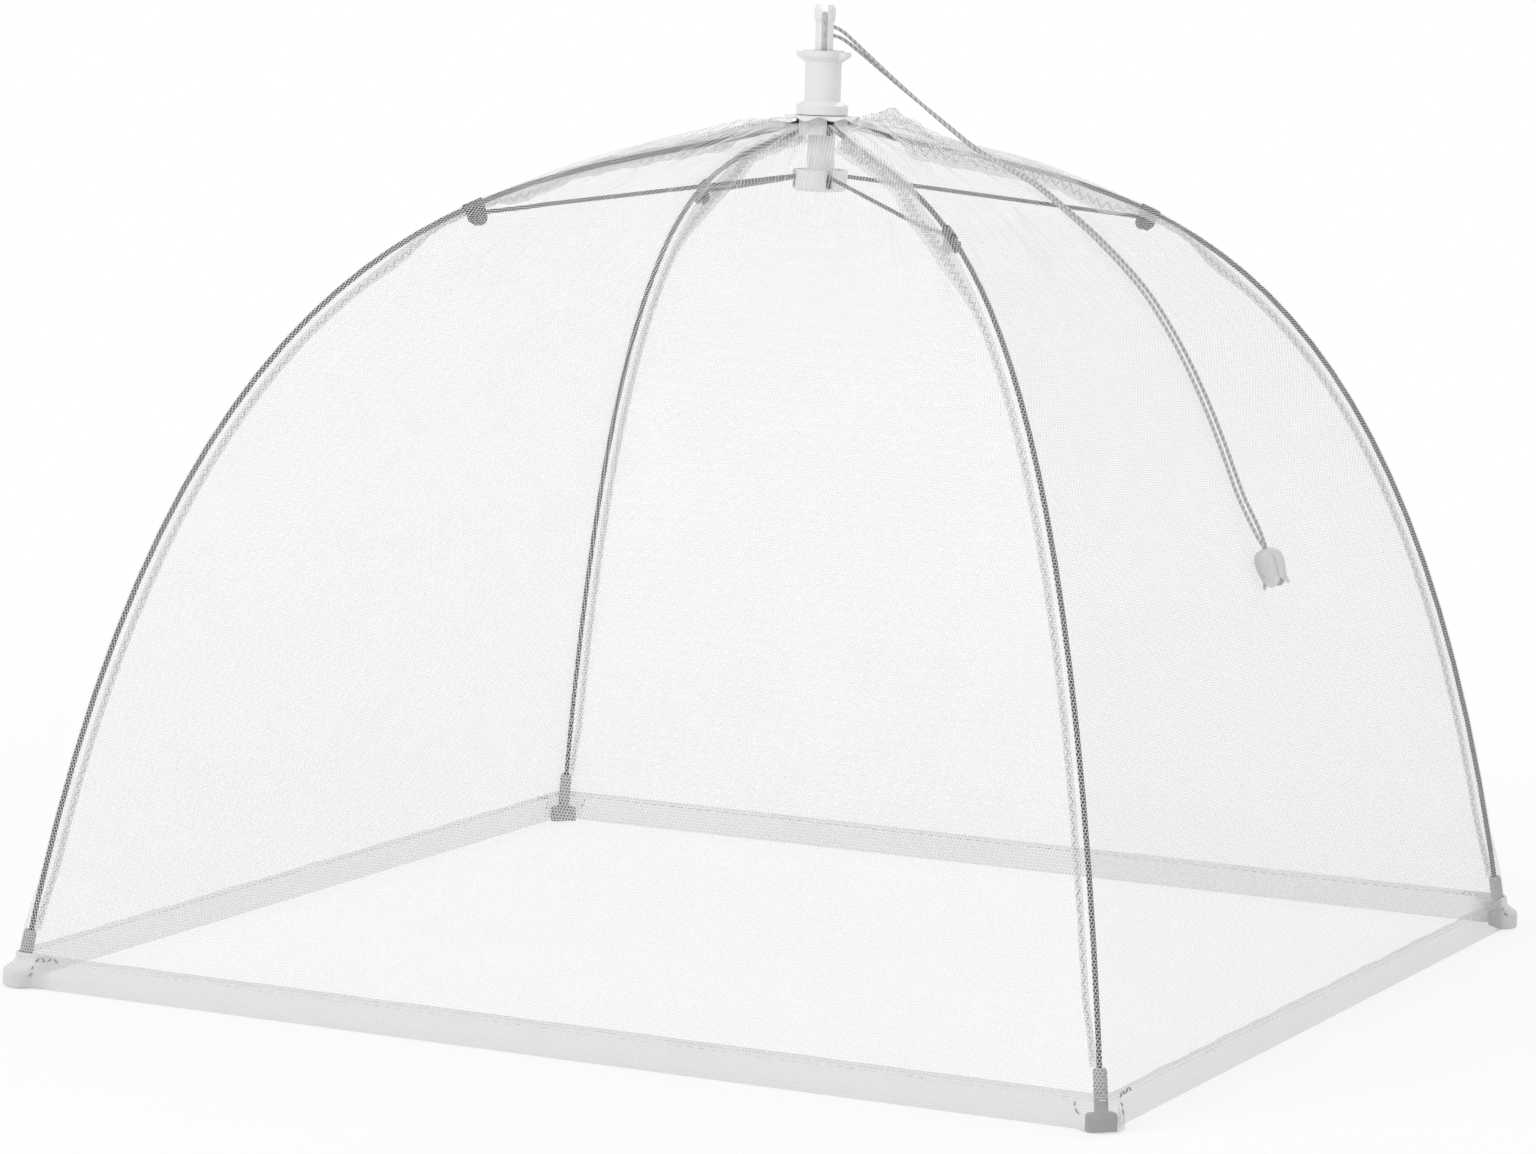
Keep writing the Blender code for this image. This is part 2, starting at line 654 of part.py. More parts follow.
def build_notch(plastic):
    """The ring under the netting: a channel for the wire ring and a slot for each rib's hook."""
    profile = (
        (CROWN_BORE_RADIUS, NOTCH_TOP),
        (NOTCH_OUTER_RADIUS, NOTCH_TOP),
        (NOTCH_OUTER_RADIUS, NOTCH_BOTTOM),
        (RING_RADIUS + RING_WIRE_RADIUS + GAP, NOTCH_BOTTOM),
        (RING_RADIUS + RING_WIRE_RADIUS + GAP, CROWN_PIVOT_HEIGHT + RING_WIRE_RADIUS + GAP),
        (RING_RADIUS - RING_WIRE_RADIUS - GAP, CROWN_PIVOT_HEIGHT + RING_WIRE_RADIUS + GAP),
        (RING_RADIUS - RING_WIRE_RADIUS - GAP, NOTCH_BOTTOM),
        (CROWN_BORE_RADIUS, NOTCH_BOTTOM),
    )
    notch = turned("crown_notch_ring", profile, plastic)
    reach = RIB_HOOK_RADIUS + RIB_WIRE_RADIUS + GAP
    cut_slots(
        notch,
        RING_RADIUS - reach,
        NOTCH_OUTER_RADIUS + OVERRUN,
        RIB_WIRE_RADIUS + SIDE_PLAY,
        NOTCH_BOTTOM - OVERRUN,
        CROWN_PIVOT_HEIGHT + reach,
    )


def cut_slots(target, start, end, half_width, bottom, top):
    """Cuts one radial slot on each diagonal."""
    for corner in range(CORNERS):
        azimuth = math.tau * (corner + 0.5) / CORNERS
        slot = box("slot", (start, -half_width, bottom), (end, half_width, top))
        slot.data.transform(Matrix.Rotation(azimuth, 4, "Z"))
        combine(target, slot, "DIFFERENCE")


def build_runner(finishes):
    """The runner with its collar, the wire ring in its channel and the latch stem through it."""
    plastic = finishes["white_plastic"]
    collar_top = NOTCH_BOTTOM - GAP
    profile = (
        (RUNNER_BORE_RADIUS, collar_top),
        (COLLAR_RADIUS, collar_top),
        (COLLAR_RADIUS, RUNNER_TOP),
        (RING_RADIUS - RING_WIRE_RADIUS - GAP, RUNNER_TOP),
        (RING_RADIUS - RING_WIRE_RADIUS - GAP, RUNNER_PIVOT_HEIGHT - RING_WIRE_RADIUS - GAP),
        (RING_RADIUS + RING_WIRE_RADIUS + GAP, RUNNER_PIVOT_HEIGHT - RING_WIRE_RADIUS - GAP),
        (RING_RADIUS + RING_WIRE_RADIUS + GAP, RUNNER_TOP),
        (RUNNER_RADIUS, RUNNER_TOP),
        (RUNNER_RADIUS, RUNNER_BOTTOM + RUNNER_CORNER),
        (RUNNER_RADIUS - RUNNER_CORNER, RUNNER_BOTTOM),
        (RUNNER_BORE_RADIUS, RUNNER_BOTTOM),
    )
    runner = turned("runner", profile, plastic)
    reach = STRETCHER_HOOK_RADIUS + STRETCHER_WIRE_RADIUS + GAP
    cut_slots(
        runner,
        RING_RADIUS - reach,
        RUNNER_RADIUS + OVERRUN,
        STRETCHER_WIRE_RADIUS + SIDE_PLAY,
        RUNNER_SLOT_FLOOR,
        RUNNER_TOP + OVERRUN,
    )
    ring_wire("runner_ring", RUNNER_PIVOT_HEIGHT, finishes["rib_wire"], None)
    build_stem(plastic)


def build_stem(plastic):
    """The hollow stem from the runner up through the crown, split at its head into two prongs."""
    profile = (
        (STEM_BORE_RADIUS, STEM_TOP),
        (STEM_HEAD_RADIUS - STEM_HEAD_TAPER / 2, STEM_TOP),
        (STEM_HEAD_RADIUS, STEM_TOP - STEM_HEAD_TAPER),
        (STEM_HEAD_RADIUS, STEM_HEAD_BOTTOM + STEM_HEAD_TAPER),
        (STEM_RADIUS, STEM_HEAD_BOTTOM),
        (STEM_RADIUS, RUNNER_BOTTOM),
        (STEM_BORE_RADIUS, RUNNER_BOTTOM),
    )
    stem = turned("latch_stem", profile, plastic, steps=24)
    reach = STEM_HEAD_RADIUS + OVERRUN
    slit = box(
        "slit",
        (-SLIT_WIDTH / 2, -reach, STEM_TOP - SLIT_DEPTH),
        (SLIT_WIDTH / 2, reach, STEM_TOP + OVERRUN),
    )
    slit.data.transform(Matrix.Rotation(SLIT_TURN, 4, "Z"))
    combine(stem, slit, "DIFFERENCE")


def wall_point(share, standoff):
    """The netting's upright section (out, up) through the middle of a side.

    A side is a plain curl of cloth between two ribs, so its section is the rib's,
    drawn in by the slant of the diagonal, and moved outwards by the standoff.
    """
    point = rib_point(share)
    direction = rib_direction(share)
    flat = Vector((direction.x / math.sqrt(2), direction.y)).normalized()
    return Vector((point.x / math.sqrt(2), point.y)) + across(flat) * standoff


def standoff_at(share):
    """How far the netting stands off the rib: close along the rib, wider over the foot's sleeve."""
    height = rib_point(share).y
    blend = min(1.0, max(0.0, 2 - height / SLEEVE_TOP_HEIGHT))
    ease = blend * blend * (3 - 2 * blend)
    return NET_STANDOFF + max(0.0, FOOT_STANDOFF - NET_STANDOFF) * ease


def wall_grid(start, end, rows, columns, extra, corner_gap, sag):
    """Rows of points on the +X side between two shares of the rib, extra outside the standoff."""
    grid = []
    for row in range(rows + 1):
        part = row / rows
        share = start + (end - start) * part
        place = wall_point(share, standoff_at(share) + extra)
        half = place.x - corner_gap
        line = []
        for column in range(columns + 1):
            side = 2 * column / columns - 1
            pull = sag * (1 - side * side) * math.sin(math.pi * part)
            line.append((place.x - pull, half * side, place.y))
        grid.append(line)
    return grid


def turned_grid(grid, quarter):
    """The same grid, turned about Z by a number of quarter turns."""
    turn = Matrix.Rotation(math.tau * quarter / CORNERS, 3, "Z")
    return [[turn @ Vector(point) for point in row] for row in grid]


def wall_share_at(out):
    """The share of the rib at which the netting has come a distance out from the column."""
    low, high = 0.0, 1.0
    for _ in range(40):
        middle = (low + high) / 2
        if wall_point(middle, standoff_at(middle)).x < out:
            low = middle
        else:
            high = middle
    return (low + high) / 2


def build_canopy(finishes):
    """The four netting sides, their hems and the crown patch."""
    start = wall_share_at(CAP_FLANGE_RADIUS + GAP)
    end = rib_share_at_height(HEM_HEIGHT + HEM_LIFT + GAP)
    hem_start = rib_share_at_height(HEM_HEIGHT + HEM_LIFT)
    for quarter, side in enumerate(SIDE_NAMES):
        inner = wall_grid(start, end, NET_ROWS, NET_COLUMNS, 0, GAP, NET_SAG)
        outer = wall_grid(start, end, NET_ROWS, NET_COLUMNS, NET_THICKNESS, GAP, NET_SAG)
        shell("net_" + side, turned_grid(outer, quarter), turned_grid(inner, quarter), finishes["netting"])
        build_hem(side, quarter, hem_start, finishes)
    build_patch(finishes)


def build_hem(side, quarter, hem_start, finishes):
    """The folded cloth band along one side of the mouth, between two feet."""
    inner = wall_grid(hem_start, 1.0, 2, 2, 0, HEM_CORNER_GAP, 0)
    outer = wall_grid(hem_start, 1.0, 2, 2, HEM_THICKNESS, HEM_CORNER_GAP, 0)
    drop = HEM_LIFT - wall_point(1.0, FOOT_STANDOFF).y
    for grid in (inner, outer):
        bottom = grid[-1]
        grid[-1] = [(point[0], point[1], HEM_LIFT) for point in bottom]
        if drop > 0:
            grid[-2] = [(point[0], point[1], (grid[0][0][2] + HEM_LIFT) / 2) for point in grid[-2]]
    shell("hem_" + side, turned_grid(outer, quarter), turned_grid(inner, quarter), finishes["hem_cloth"])


def build_patch(finishes):
    """The round cloth patch clamped between cap and notched ring, drooping past the flange."""
    reach = CAP_FLANGE_RADIUS + PATCH_OVERHANG
    profile = (
        (CROWN_BORE_RADIUS, PATCH_BOTTOM + PATCH_THICKNESS),
        (CAP_FLANGE_RADIUS, PATCH_BOTTOM + PATCH_THICKNESS),
        (reach, PATCH_BOTTOM + PATCH_THICKNESS - PATCH_DROOP),
        (reach, PATCH_BOTTOM - PATCH_DROOP),
        (CAP_FLANGE_RADIUS, PATCH_BOTTOM),
        (CROWN_BORE_RADIUS, PATCH_BOTTOM),
    )
    turned("crown_patch", profile, finishes["hem_cloth"])


def smooth_route(points, steps):
    """Points at even steps of length along a smooth curve through the given ones."""
    padded = [points[0] * 2 - points[1]] + points + [points[-1] * 2 - points[-2]]
    fine = []
    for index in range(1, len(padded) - 2):
        before, first, second, after = padded[index - 1 : index + 3]
        for step in range(ROUTE_FINENESS):
            share = step / ROUTE_FINENESS
            fine.append(
                first
                + (second - before) * (share / 2)
                + (before * 2 - first * 5 + second * 4 - after) * (share**2 / 2)
                + (first * 3 - second * 3 + after - before) * (share**3 / 2)
            )
    fine.append(points[-1])
    lengths = [0.0]
    for first, second in zip(fine, fine[1:]):
        lengths.append(lengths[-1] + (second - first).length)
    route, index = [], 0
    for step in range(steps + 1):
        target = lengths[-1] * step / steps
        while index < len(fine) - 2 and lengths[index + 1] < target:
            index += 1
        span = lengths[index + 1] - lengths[index]
        route.append(fine[index].lerp(fine[index + 1], (target - lengths[index]) / span))
    return route


def build_cord(finishes):
    """The two strands of the pull cord, the bead that they end in and the knot inside it.

    They leave the stem through its slit, one above the other, meet over the netting,
    lie apart on it and meet again at the bead.
    """
    slit = Matrix.Rotation(SLIT_TURN, 3, "Z")
    height = STEM_HEAD_BOTTOM - CORD_EXIT_DROP
    route = [slit @ Vector((0, reach, height)) for reach in CORD_EXIT_REACHES]
    route += [Vector(point) for point in CORD_ROUTE]
    mouth = Vector(BEAD_TOP)
    fall = Matrix.Rotation(-BEAD_LEAN, 3, "Y") @ Vector((0, 0, -1))
    route += [mouth, mouth + fall * (BEAD_LENGTH - BEAD_HOLLOW)]
    meeting = len(route) * CORD_MEETING_SHARE
    for name, sign in (("upper", 1), ("lower", -1)):
        strand = []
        for index, point in enumerate(route):
            ahead = route[min(index + 1, len(route) - 1)] - route[max(index - 1, 0)]
            off_netting = Vector((-ahead.z, 0, ahead.x))
            sideways = ahead.cross(off_netting).normalized()
            closing = max(0.0, 1 - index / meeting)
            part = min(1.0, max(0.0, (index - meeting) / (route.index(mouth) - meeting)))
            apart = CORD_SPACING + CORD_SPLAY * math.sin(math.pi * part**CORD_SPLAY_BIAS)
            strand.append(
                point
                + sideways * (sign * apart / 2 * (1 - closing))
                + Vector((0, 0, sign * CORD_SPREAD * closing))
            )
        tube("pull_cord_" + name, smooth_route(strand, CORD_STEPS), CORD_RADIUS, finishes["cord_fibre"])
    build_bead(mouth, finishes)


def build_bead(mouth, finishes):
    """The tulip bead: a turned bell with petals cut in its rim, and the knot in its hollow."""
    outline = [(BEAD_RADIUS * out, -BEAD_LENGTH * down) for out, down in BEAD_OUTLINE_SHARES]
    profile = (
        (BEAD_HOLE_RADIUS, 0),
        *outline,
        (BEAD_RADIUS - BEAD_WALL, -BEAD_LENGTH),
        (BEAD_RADIUS - BEAD_WALL_TOP, -BEAD_LENGTH + BEAD_HOLLOW * BEAD_TAPER_SHARE),
        (BEAD_HOLE_RADIUS, -BEAD_LENGTH + BEAD_HOLLOW),
    )
    bead = turned("pull_bead", profile, finishes["bead_plastic"], steps=24)
    half = BEAD_NOTCH_DEPTH / math.sqrt(2)
    for petal in range(BEAD_PETALS):
        cutter = box("notch", (BEAD_RADIUS / 2, -half, -half), (BEAD_RADIUS + OVERRUN, half, half))
        cutter.data.transform(Matrix.Rotation(math.tau / 8, 4, "X"))
        cutter.data.transform(Matrix.Translation((0, 0, -BEAD_LENGTH)))
        cutter.data.transform(Matrix.Rotation(BEAD_TURN + math.tau * petal / BEAD_PETALS, 4, "Z"))
        combine(bead, cutter, "DIFFERENCE")
    place = Matrix.Translation(mouth) @ Matrix.Rotation(-BEAD_LEAN, 4, "Y")
    bead.data.transform(place)
    bm = bmesh.new()
    bmesh.ops.create_icosphere(bm, subdivisions=2, radius=KNOT_RADIUS)
    knot = mesh_object("pull_knot", bm, finishes["cord_fibre"])
    below = KNOT_RADIUS + GAP
    knot.data.transform(place @ Matrix.Translation((0, 0, -BEAD_LENGTH + BEAD_HOLLOW - below)))


def main():
    clear_scene()
    finishes = materials()
    build_runner(finishes)
    build_column(finishes)
    for corner in range(CORNERS):
        build_rib(corner, finishes)
        build_stretcher(corner, finishes)
    build_canopy(finishes)
    build_cord(finishes)


if __name__ == "__main__":
    main()
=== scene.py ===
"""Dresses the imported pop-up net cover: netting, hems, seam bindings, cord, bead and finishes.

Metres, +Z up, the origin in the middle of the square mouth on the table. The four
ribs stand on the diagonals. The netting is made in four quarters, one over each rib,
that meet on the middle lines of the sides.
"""

import json
import logging
import math
from collections.abc import Callable
from dataclasses import dataclass, field
from enum import Enum

import bmesh
import bpy
import numpy as np
from mathutils import Matrix, Vector


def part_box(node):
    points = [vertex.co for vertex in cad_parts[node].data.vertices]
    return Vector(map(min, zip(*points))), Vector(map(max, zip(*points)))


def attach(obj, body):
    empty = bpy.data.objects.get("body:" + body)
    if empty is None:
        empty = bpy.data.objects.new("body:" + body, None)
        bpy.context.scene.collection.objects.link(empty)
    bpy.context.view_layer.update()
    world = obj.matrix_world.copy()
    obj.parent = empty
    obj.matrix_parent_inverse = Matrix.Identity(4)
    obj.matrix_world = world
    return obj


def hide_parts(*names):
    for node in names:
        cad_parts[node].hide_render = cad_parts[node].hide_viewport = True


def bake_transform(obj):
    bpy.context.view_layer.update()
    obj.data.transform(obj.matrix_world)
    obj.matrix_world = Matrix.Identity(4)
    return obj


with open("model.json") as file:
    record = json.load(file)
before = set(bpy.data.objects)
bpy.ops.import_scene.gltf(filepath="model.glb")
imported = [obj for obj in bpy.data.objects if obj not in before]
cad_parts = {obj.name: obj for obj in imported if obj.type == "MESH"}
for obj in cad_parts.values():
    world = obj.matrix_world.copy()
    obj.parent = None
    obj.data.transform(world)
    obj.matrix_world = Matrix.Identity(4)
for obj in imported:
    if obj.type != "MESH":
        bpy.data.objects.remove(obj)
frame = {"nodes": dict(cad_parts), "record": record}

logging.basicConfig(level=logging.INFO, format="%(message)s")
LOG = logging.getLogger("net_cover")

Array = np.ndarray
Colour = tuple[float, float, float]
HemLines = tuple[Array, Array, Array, Array]
ROOT_TWO = math.sqrt(2)
CLOTH_SPAN = 0.5
SHARP_ANGLE = math.radians(62)
WHITE = (1.0, 1.0, 1.0, 1.0)


class Corner(Enum):
    """The four corners, each with its quarter turn from the first."""

    BACK_RIGHT = 0
    BACK_LEFT = 1
    FRONT_LEFT = 2
    FRONT_RIGHT = 3

    @property
    def label(self) -> str:
        """The corner's name as the frame's nodes and bodies spell it."""
        return self.name.lower()

    @property
    def azimuth(self) -> float:
        """The direction of the corner's diagonal about Z, in radians."""
        return math.tau * (self.value + 0.5) / 4

    @property
    def turn(self) -> float:
        """The corner's quarter turn from the first, in radians."""
        return math.tau * self.value / 4

    @property
    def sides(self) -> "list[str]":
        """The two sides that meet here, as the frame's nodes spell them."""
        return [Side((self.value + step) % 4).name.lower() for step in (0, 1)]


class Side(Enum):
    """The four sides, each with its quarter turn from +X."""

    RIGHT = 0
    BACK = 1
    LEFT = 2
    FRONT = 3


# ---- shader maths


def operation(name: str) -> "Callable[..., Value]":
    """A method of Value that adds one Math node of an operation."""

    def apply(value: "Value", *others: "Value | float") -> "Value":
        """The value after the operation with the others."""
        return value.math(name, value, *others)

    return apply


class Value:
    """An output of a node. On numbers, Python's operators add Math nodes."""

    def __init__(self, graph: "Graph", socket: bpy.types.NodeSocket) -> None:
        """Holds the socket and the graph it belongs to."""
        self.graph = graph
        self.socket = socket

    def of(self, name: "str | int") -> "Value":
        """Another output of the same node."""
        return Value(self.graph, self.socket.node.outputs[name])

    def math(self, name: str, *items: "Value | float") -> "Value":
        """One Math node.

        Args:
            name: the node's operation.
            items: its inputs in order, as values or numbers.

        Returns:
            The node's result.
        """
        settings = {"operation": name}
        return self.graph.add("ShaderNodeMath", settings, dict(enumerate(items)))

    __add__ = __radd__ = operation("ADD")
    __sub__ = operation("SUBTRACT")
    __mul__ = operation("MULTIPLY")
    __truediv__ = operation("DIVIDE")
    __mod__ = operation("FLOORED_MODULO")
    __lt__ = operation("LESS_THAN")
    __abs__ = operation("ABSOLUTE")
    most = operation("MAXIMUM")
    wave = operation("SINE")
    root = operation("SQRT")

    def __rsub__(self, other: float) -> "Value":
        """A number less this value."""
        return self.math("SUBTRACT", other, self)

    def ramp(self, low: float, high: float) -> "Value":
        """0 below low, 1 above high and an even rise between them."""
        settings = {"clamp": True}
        inputs = {"Value": self, "From Min": low, "From Max": high}
        return self.graph.add("ShaderNodeMapRange", settings, inputs)


class Graph:
    """The node tree of a material, or of the surroundings."""

    def __init__(self, name: str, world: bool = False) -> None:
        """Makes the material or world, and finds its shader and its output."""
        self.owner = (bpy.data.worlds if world else bpy.data.materials).new(name)
        self.owner.use_nodes = True
        self.tree = self.owner.node_tree
        self.shader = self.tree.nodes["Background" if world else "Principled BSDF"]
        self.output = self.tree.nodes["World Output" if world else "Material Output"]

    def add(self, kind: str, settings: dict, inputs: dict) -> Value:
        """Adds a node, sets its settings, then its sockets.

        Args:
            kind: the node's type.
            settings: its properties by name.
            inputs: its sockets by name or number, as numbers, vectors, colours or values.

        Returns:
            The node's first output.
        """
        node = self.tree.nodes.new(kind)
        for name, setting in settings.items():
            setattr(node, name, setting)
        for name, item in inputs.items():
            self.feed(node.inputs[name], item)
        return Value(self, node.outputs[0])

    def feed(self, socket: bpy.types.NodeSocket, item: object) -> None:
        """Links a value to a socket, or sets the socket to a number, vector or colour."""
        if isinstance(item, Value):
            self.tree.links.new(item.socket, socket)
        else:
            socket.default_value = item

    def set_shader(self, **sockets: object) -> None:
        """Sets or links the shader's own sockets, with _ for a space in their names."""
        for name, item in sockets.items():
            self.feed(self.shader.inputs[name.replace("_", " ")], item)

    def cover(self, share: Value, shader: Value) -> None:
        """Mixes another shader over the tree's own by a share, and links it to the output."""
        inputs = {0: share, 1: Value(self, self.shader.outputs[0]), 2: shader}
        self.feed(self.output.inputs["Surface"], self.add("ShaderNodeMixShader", {}, inputs))

    def place(self) -> Value:
        """The object's own coordinates."""
        return self.add("ShaderNodeTexCoord", {}, {}).of("Object")

    def plan(self) -> "tuple[Value, Value, Value]":
        """The object's own X and Y, and how far out from its middle they are."""
        parts = self.add("ShaderNodeSeparateXYZ", {}, {"Vector": self.place()})
        x, y = parts.of("X"), parts.of("Y")
        return x, y, (x * x + y * y).root()

    def cloth_place(self) -> "tuple[Value, Value]":
        """The piece's own cloth coordinates, in metres along and across the cut."""
        uv = self.add("ShaderNodeUVMap", {"uv_map": "cloth"}, {}).of("UV")
        parts = self.add("ShaderNodeSeparateXYZ", {}, {"Vector": uv})
        return parts.of("X") * CLOTH_SPAN, parts.of("Y") * CLOTH_SPAN

    def noise(self, scale: float, detail: float, where: "Value | None" = None) -> Value:
        """Fractal noise over the object's coordinates, or over others, from 0 to 1."""
        inputs = {"Vector": where or self.place(), "Scale": scale, "Detail": detail}
        return self.add("ShaderNodeTexNoise", {}, inputs)

    def blend(self, factor: Value, first: "Value | Colour", second: "Value | Colour") -> Value:
        """A colour between two colours."""
        colours = [(*item, 1.0) if isinstance(item, tuple) else item for item in (first, second)]
        inputs = {0: factor, 6: colours[0], 7: colours[1]}
        return self.add("ShaderNodeMix", {"data_type": "RGBA"}, inputs).of(2)

    def bump(self, height: Value, distance: float, strength: float) -> Value:
        """A normal from a height, given in units of the distance."""
        inputs = {"Height": height, "Distance": distance, "Strength": strength}
        return self.add("ShaderNodeBump", {}, inputs)


# ---- finishes


@dataclass(frozen=True)
class CoatedWire:
    """Dark grey coated steel wire, a little worn where it bends."""

    name: str = "coated_wire"
    colour: Colour = (0.11, 0.11, 0.115)
    worn: Colour = (0.25, 0.25, 0.255)
    roughness: float = 0.38

    def make(self) -> bpy.types.Material:
        """Builds the material: cloudy dark coat, faint drawing marks and rubbed patches."""
        graph = Graph(self.name)
        cloud = graph.noise(90.0, 3.0)
        grain = graph.noise(1400.0, 2.0)
        rub = (cloud * 0.75 + grain * 0.25).ramp(0.56, 0.70)
        graph.set_shader(
            Base_Color=graph.blend(rub * 0.6, self.colour, self.worn),
            Roughness=self.roughness + (grain - 0.5) * 0.22,
            Metallic=0.75,
            Normal=graph.bump(grain, 0.00005, 0.5),
        )
        return graph.owner


@dataclass(frozen=True)
class PressedStrip:
    """The dark pressed metal of the clips and rivets."""

    name: str = "pressed_strip"
    colour: Colour = (0.11, 0.11, 0.115)
    edge: Colour = (0.24, 0.24, 0.245)
    roughness: float = 0.42

    def make(self) -> bpy.types.Material:
        """Builds the material: a dark coat with bright specks and press marks."""
        graph = Graph(self.name)
        cloud = graph.noise(420.0, 4.0)
        speck = graph.noise(2600.0, 1.0)
        worn = (cloud * 0.6 + speck * 0.4).ramp(0.54, 0.66)
        graph.set_shader(
            Base_Color=graph.blend(worn * 0.7, self.colour, self.edge),
            Roughness=self.roughness + (speck - 0.5) * 0.3,
            Metallic=0.8,
            Normal=graph.bump(cloud, 0.00012, 0.6),
        )
        return graph.owner


@dataclass(frozen=True)
class MouldedPlastic:
    """Moulded plastic with a fine grain, faint flow clouds and a scuffed gloss."""

    name: str
    colour: Colour
    shade: Colour
    roughness: float = 0.34
    grain: float = 1100.0
    depth: float = 0.00004

    def make(self) -> bpy.types.Material:
        """Builds the material."""
        graph = Graph(self.name)
        cloud = graph.noise(70.0, 3.0)
        grain = graph.noise(self.grain, 2.0)
        scuff = graph.noise(260.0, 4.0).ramp(0.55, 0.75)
        graph.set_shader(
            Base_Color=graph.blend(cloud.ramp(0.3, 0.75), self.colour, self.shade),
            Roughness=self.roughness + scuff * 0.16 + (grain - 0.5) * 0.1,
            Normal=graph.bump(grain, self.depth, 0.6),
            Specular_IOR_Level=0.45,
        )
        return graph.owner


@dataclass(frozen=True)
class OpenNetting:
    """White knitted netting: six-sided holes between fine threads."""

    name: str = "open_netting"
    colour: Colour = (0.80, 0.805, 0.81)
    shade: Colour = (0.72, 0.725, 0.73)
    pitch: float = 0.0012
    thread: float = 0.070
    fold_thread: float = 0.125
    fold_count: float = 13.0
    fold_width: float = 0.030
    fold_reach: float = 0.165
    fold_draw: float = 7.0
    softness: float = 0.02

    def folds(self, graph: Graph) -> Value:
        """Thin folds that run out from the crown, from 0 to 1, where the netting lies double.

        Noise over the direction from the crown, drawn out along the way, crosses its
        middle value on thin lines. They fade with the distance, and some are fainter.
        """
        x, y, out = graph.plan()
        out = out.most(0.001)
        count = self.fold_count
        place = {"X": x / out * count, "Y": y / out * count, "Z": out * self.fold_draw}
        stream = graph.add("ShaderNodeCombineXYZ", {}, place)
        lines = abs(graph.noise(1.0, 0.5, stream) - 0.5).ramp(self.fold_width, 0.0)
        near = out.ramp(self.fold_reach, self.fold_reach * 0.35) * out.ramp(0.012, 0.030)
        return lines * near * graph.noise(14.0, 1.0).ramp(0.30, 0.62)

    def make(self) -> bpy.types.Material:
        """Builds the material.

        The holes are a honeycomb in cloth coordinates. Each point is measured from the
        middle of its own cell, and is on a thread where it is close to the cell's edge.
        """
        graph = Graph(self.name)
        across, down = graph.cloth_place()
        u, v = across / self.pitch, down / self.pitch
        tall = math.sqrt(3)
        cells = []
        for shift in (0.0, 0.5):
            x = (u + shift) % 1.0 - 0.5
            y = (v + shift * tall) % tall - tall / 2
            cells.append((abs(x), abs(y), x * x + y * y))
        nearer = cells[0][2] < cells[1][2]
        x = cells[0][0] * nearer + cells[1][0] * (1 - nearer)
        y = cells[0][1] * nearer + cells[1][1] * (1 - nearer)
        edge = x.most(x * 0.5 + y * (tall / 2))
        thick = edge + self.folds(graph) * self.fold_thread
        rim = 0.5 - self.thread
        graph.set_shader(
            Base_Color=graph.blend(graph.noise(38.0, 2.0), self.colour, self.shade),
            Roughness=0.75,
            Alpha=thick.ramp(rim - self.softness, rim + self.softness),
            Normal=graph.bump(edge, 0.0002, 0.4),
        )
        return graph.owner


@dataclass(frozen=True)
class BoundCloth:
    """Plain woven binding, thin enough that some light passes, and denser over a foot."""

    name: str
    colour: Colour
    shade: Colour
    cover: float = 0.85
    pocket_cover: float = 0.80
    pocket_colour: Colour = (0.72, 0.725, 0.73)
    pitch: float = 0.00055

    def make(self) -> bpy.types.Material:
        """Builds the material: warp and weft as two waves, one over the other in turn."""
        graph = Graph(self.name)
        along, across = graph.cloth_place()
        warp = (along * (math.pi / self.pitch)).wave()
        weft = (across * (math.pi / self.pitch)).wave()
        weave = abs(warp) * 0.5 + abs(weft) * 0.5
        crossing = (warp * weft).ramp(-0.4, 0.4)
        cloud = graph.noise(60.0, 3.0)
        pocket = graph.add("ShaderNodeAttribute", {"attribute_name": "pocket"}, {}).of("Fac")
        cover = pocket * (self.pocket_cover - self.cover) + self.cover
        plain = graph.blend(cloud * 0.6 + crossing * 0.4, self.colour, self.shade)
        graph.set_shader(
            Base_Color=graph.blend(pocket, plain, self.pocket_colour),
            Roughness=0.82,
            Alpha=cover * (weave * 0.5 + 0.68),
            Normal=graph.bump(weave, 0.00012, 0.5),
            Sheen_Weight=0.15,
            Sheen_Roughness=0.5,
        )
        return graph.owner


@dataclass(frozen=True)
class TwistedCord:
    """Thin twisted cord: dark lines wind round between two plies."""

    name: str = "twisted_cord"
    colour: Colour = (0.54, 0.54, 0.535)
    groove: Colour = (0.31, 0.31, 0.31)
    lay: float = 0.0024

    def make(self) -> bpy.types.Material:
        """Builds the material: a sloping wave over length and the way round."""
        graph = Graph(self.name)
        turn, length = graph.cloth_place()
        ply = ((length / self.lay + turn / CLOTH_SPAN) * math.tau).wave() * 0.5 + 0.5
        fuzz = graph.noise(2400.0, 2.0)
        twist = (ply * 0.8 + fuzz * 0.3).ramp(0.1, 0.75)
        graph.set_shader(
            Base_Color=graph.blend(twist, self.groove, self.colour),
            Roughness=0.8,
            Normal=graph.bump(ply * 0.8 + fuzz * 0.2, 0.0002, 0.8),
        )
        return graph.owner


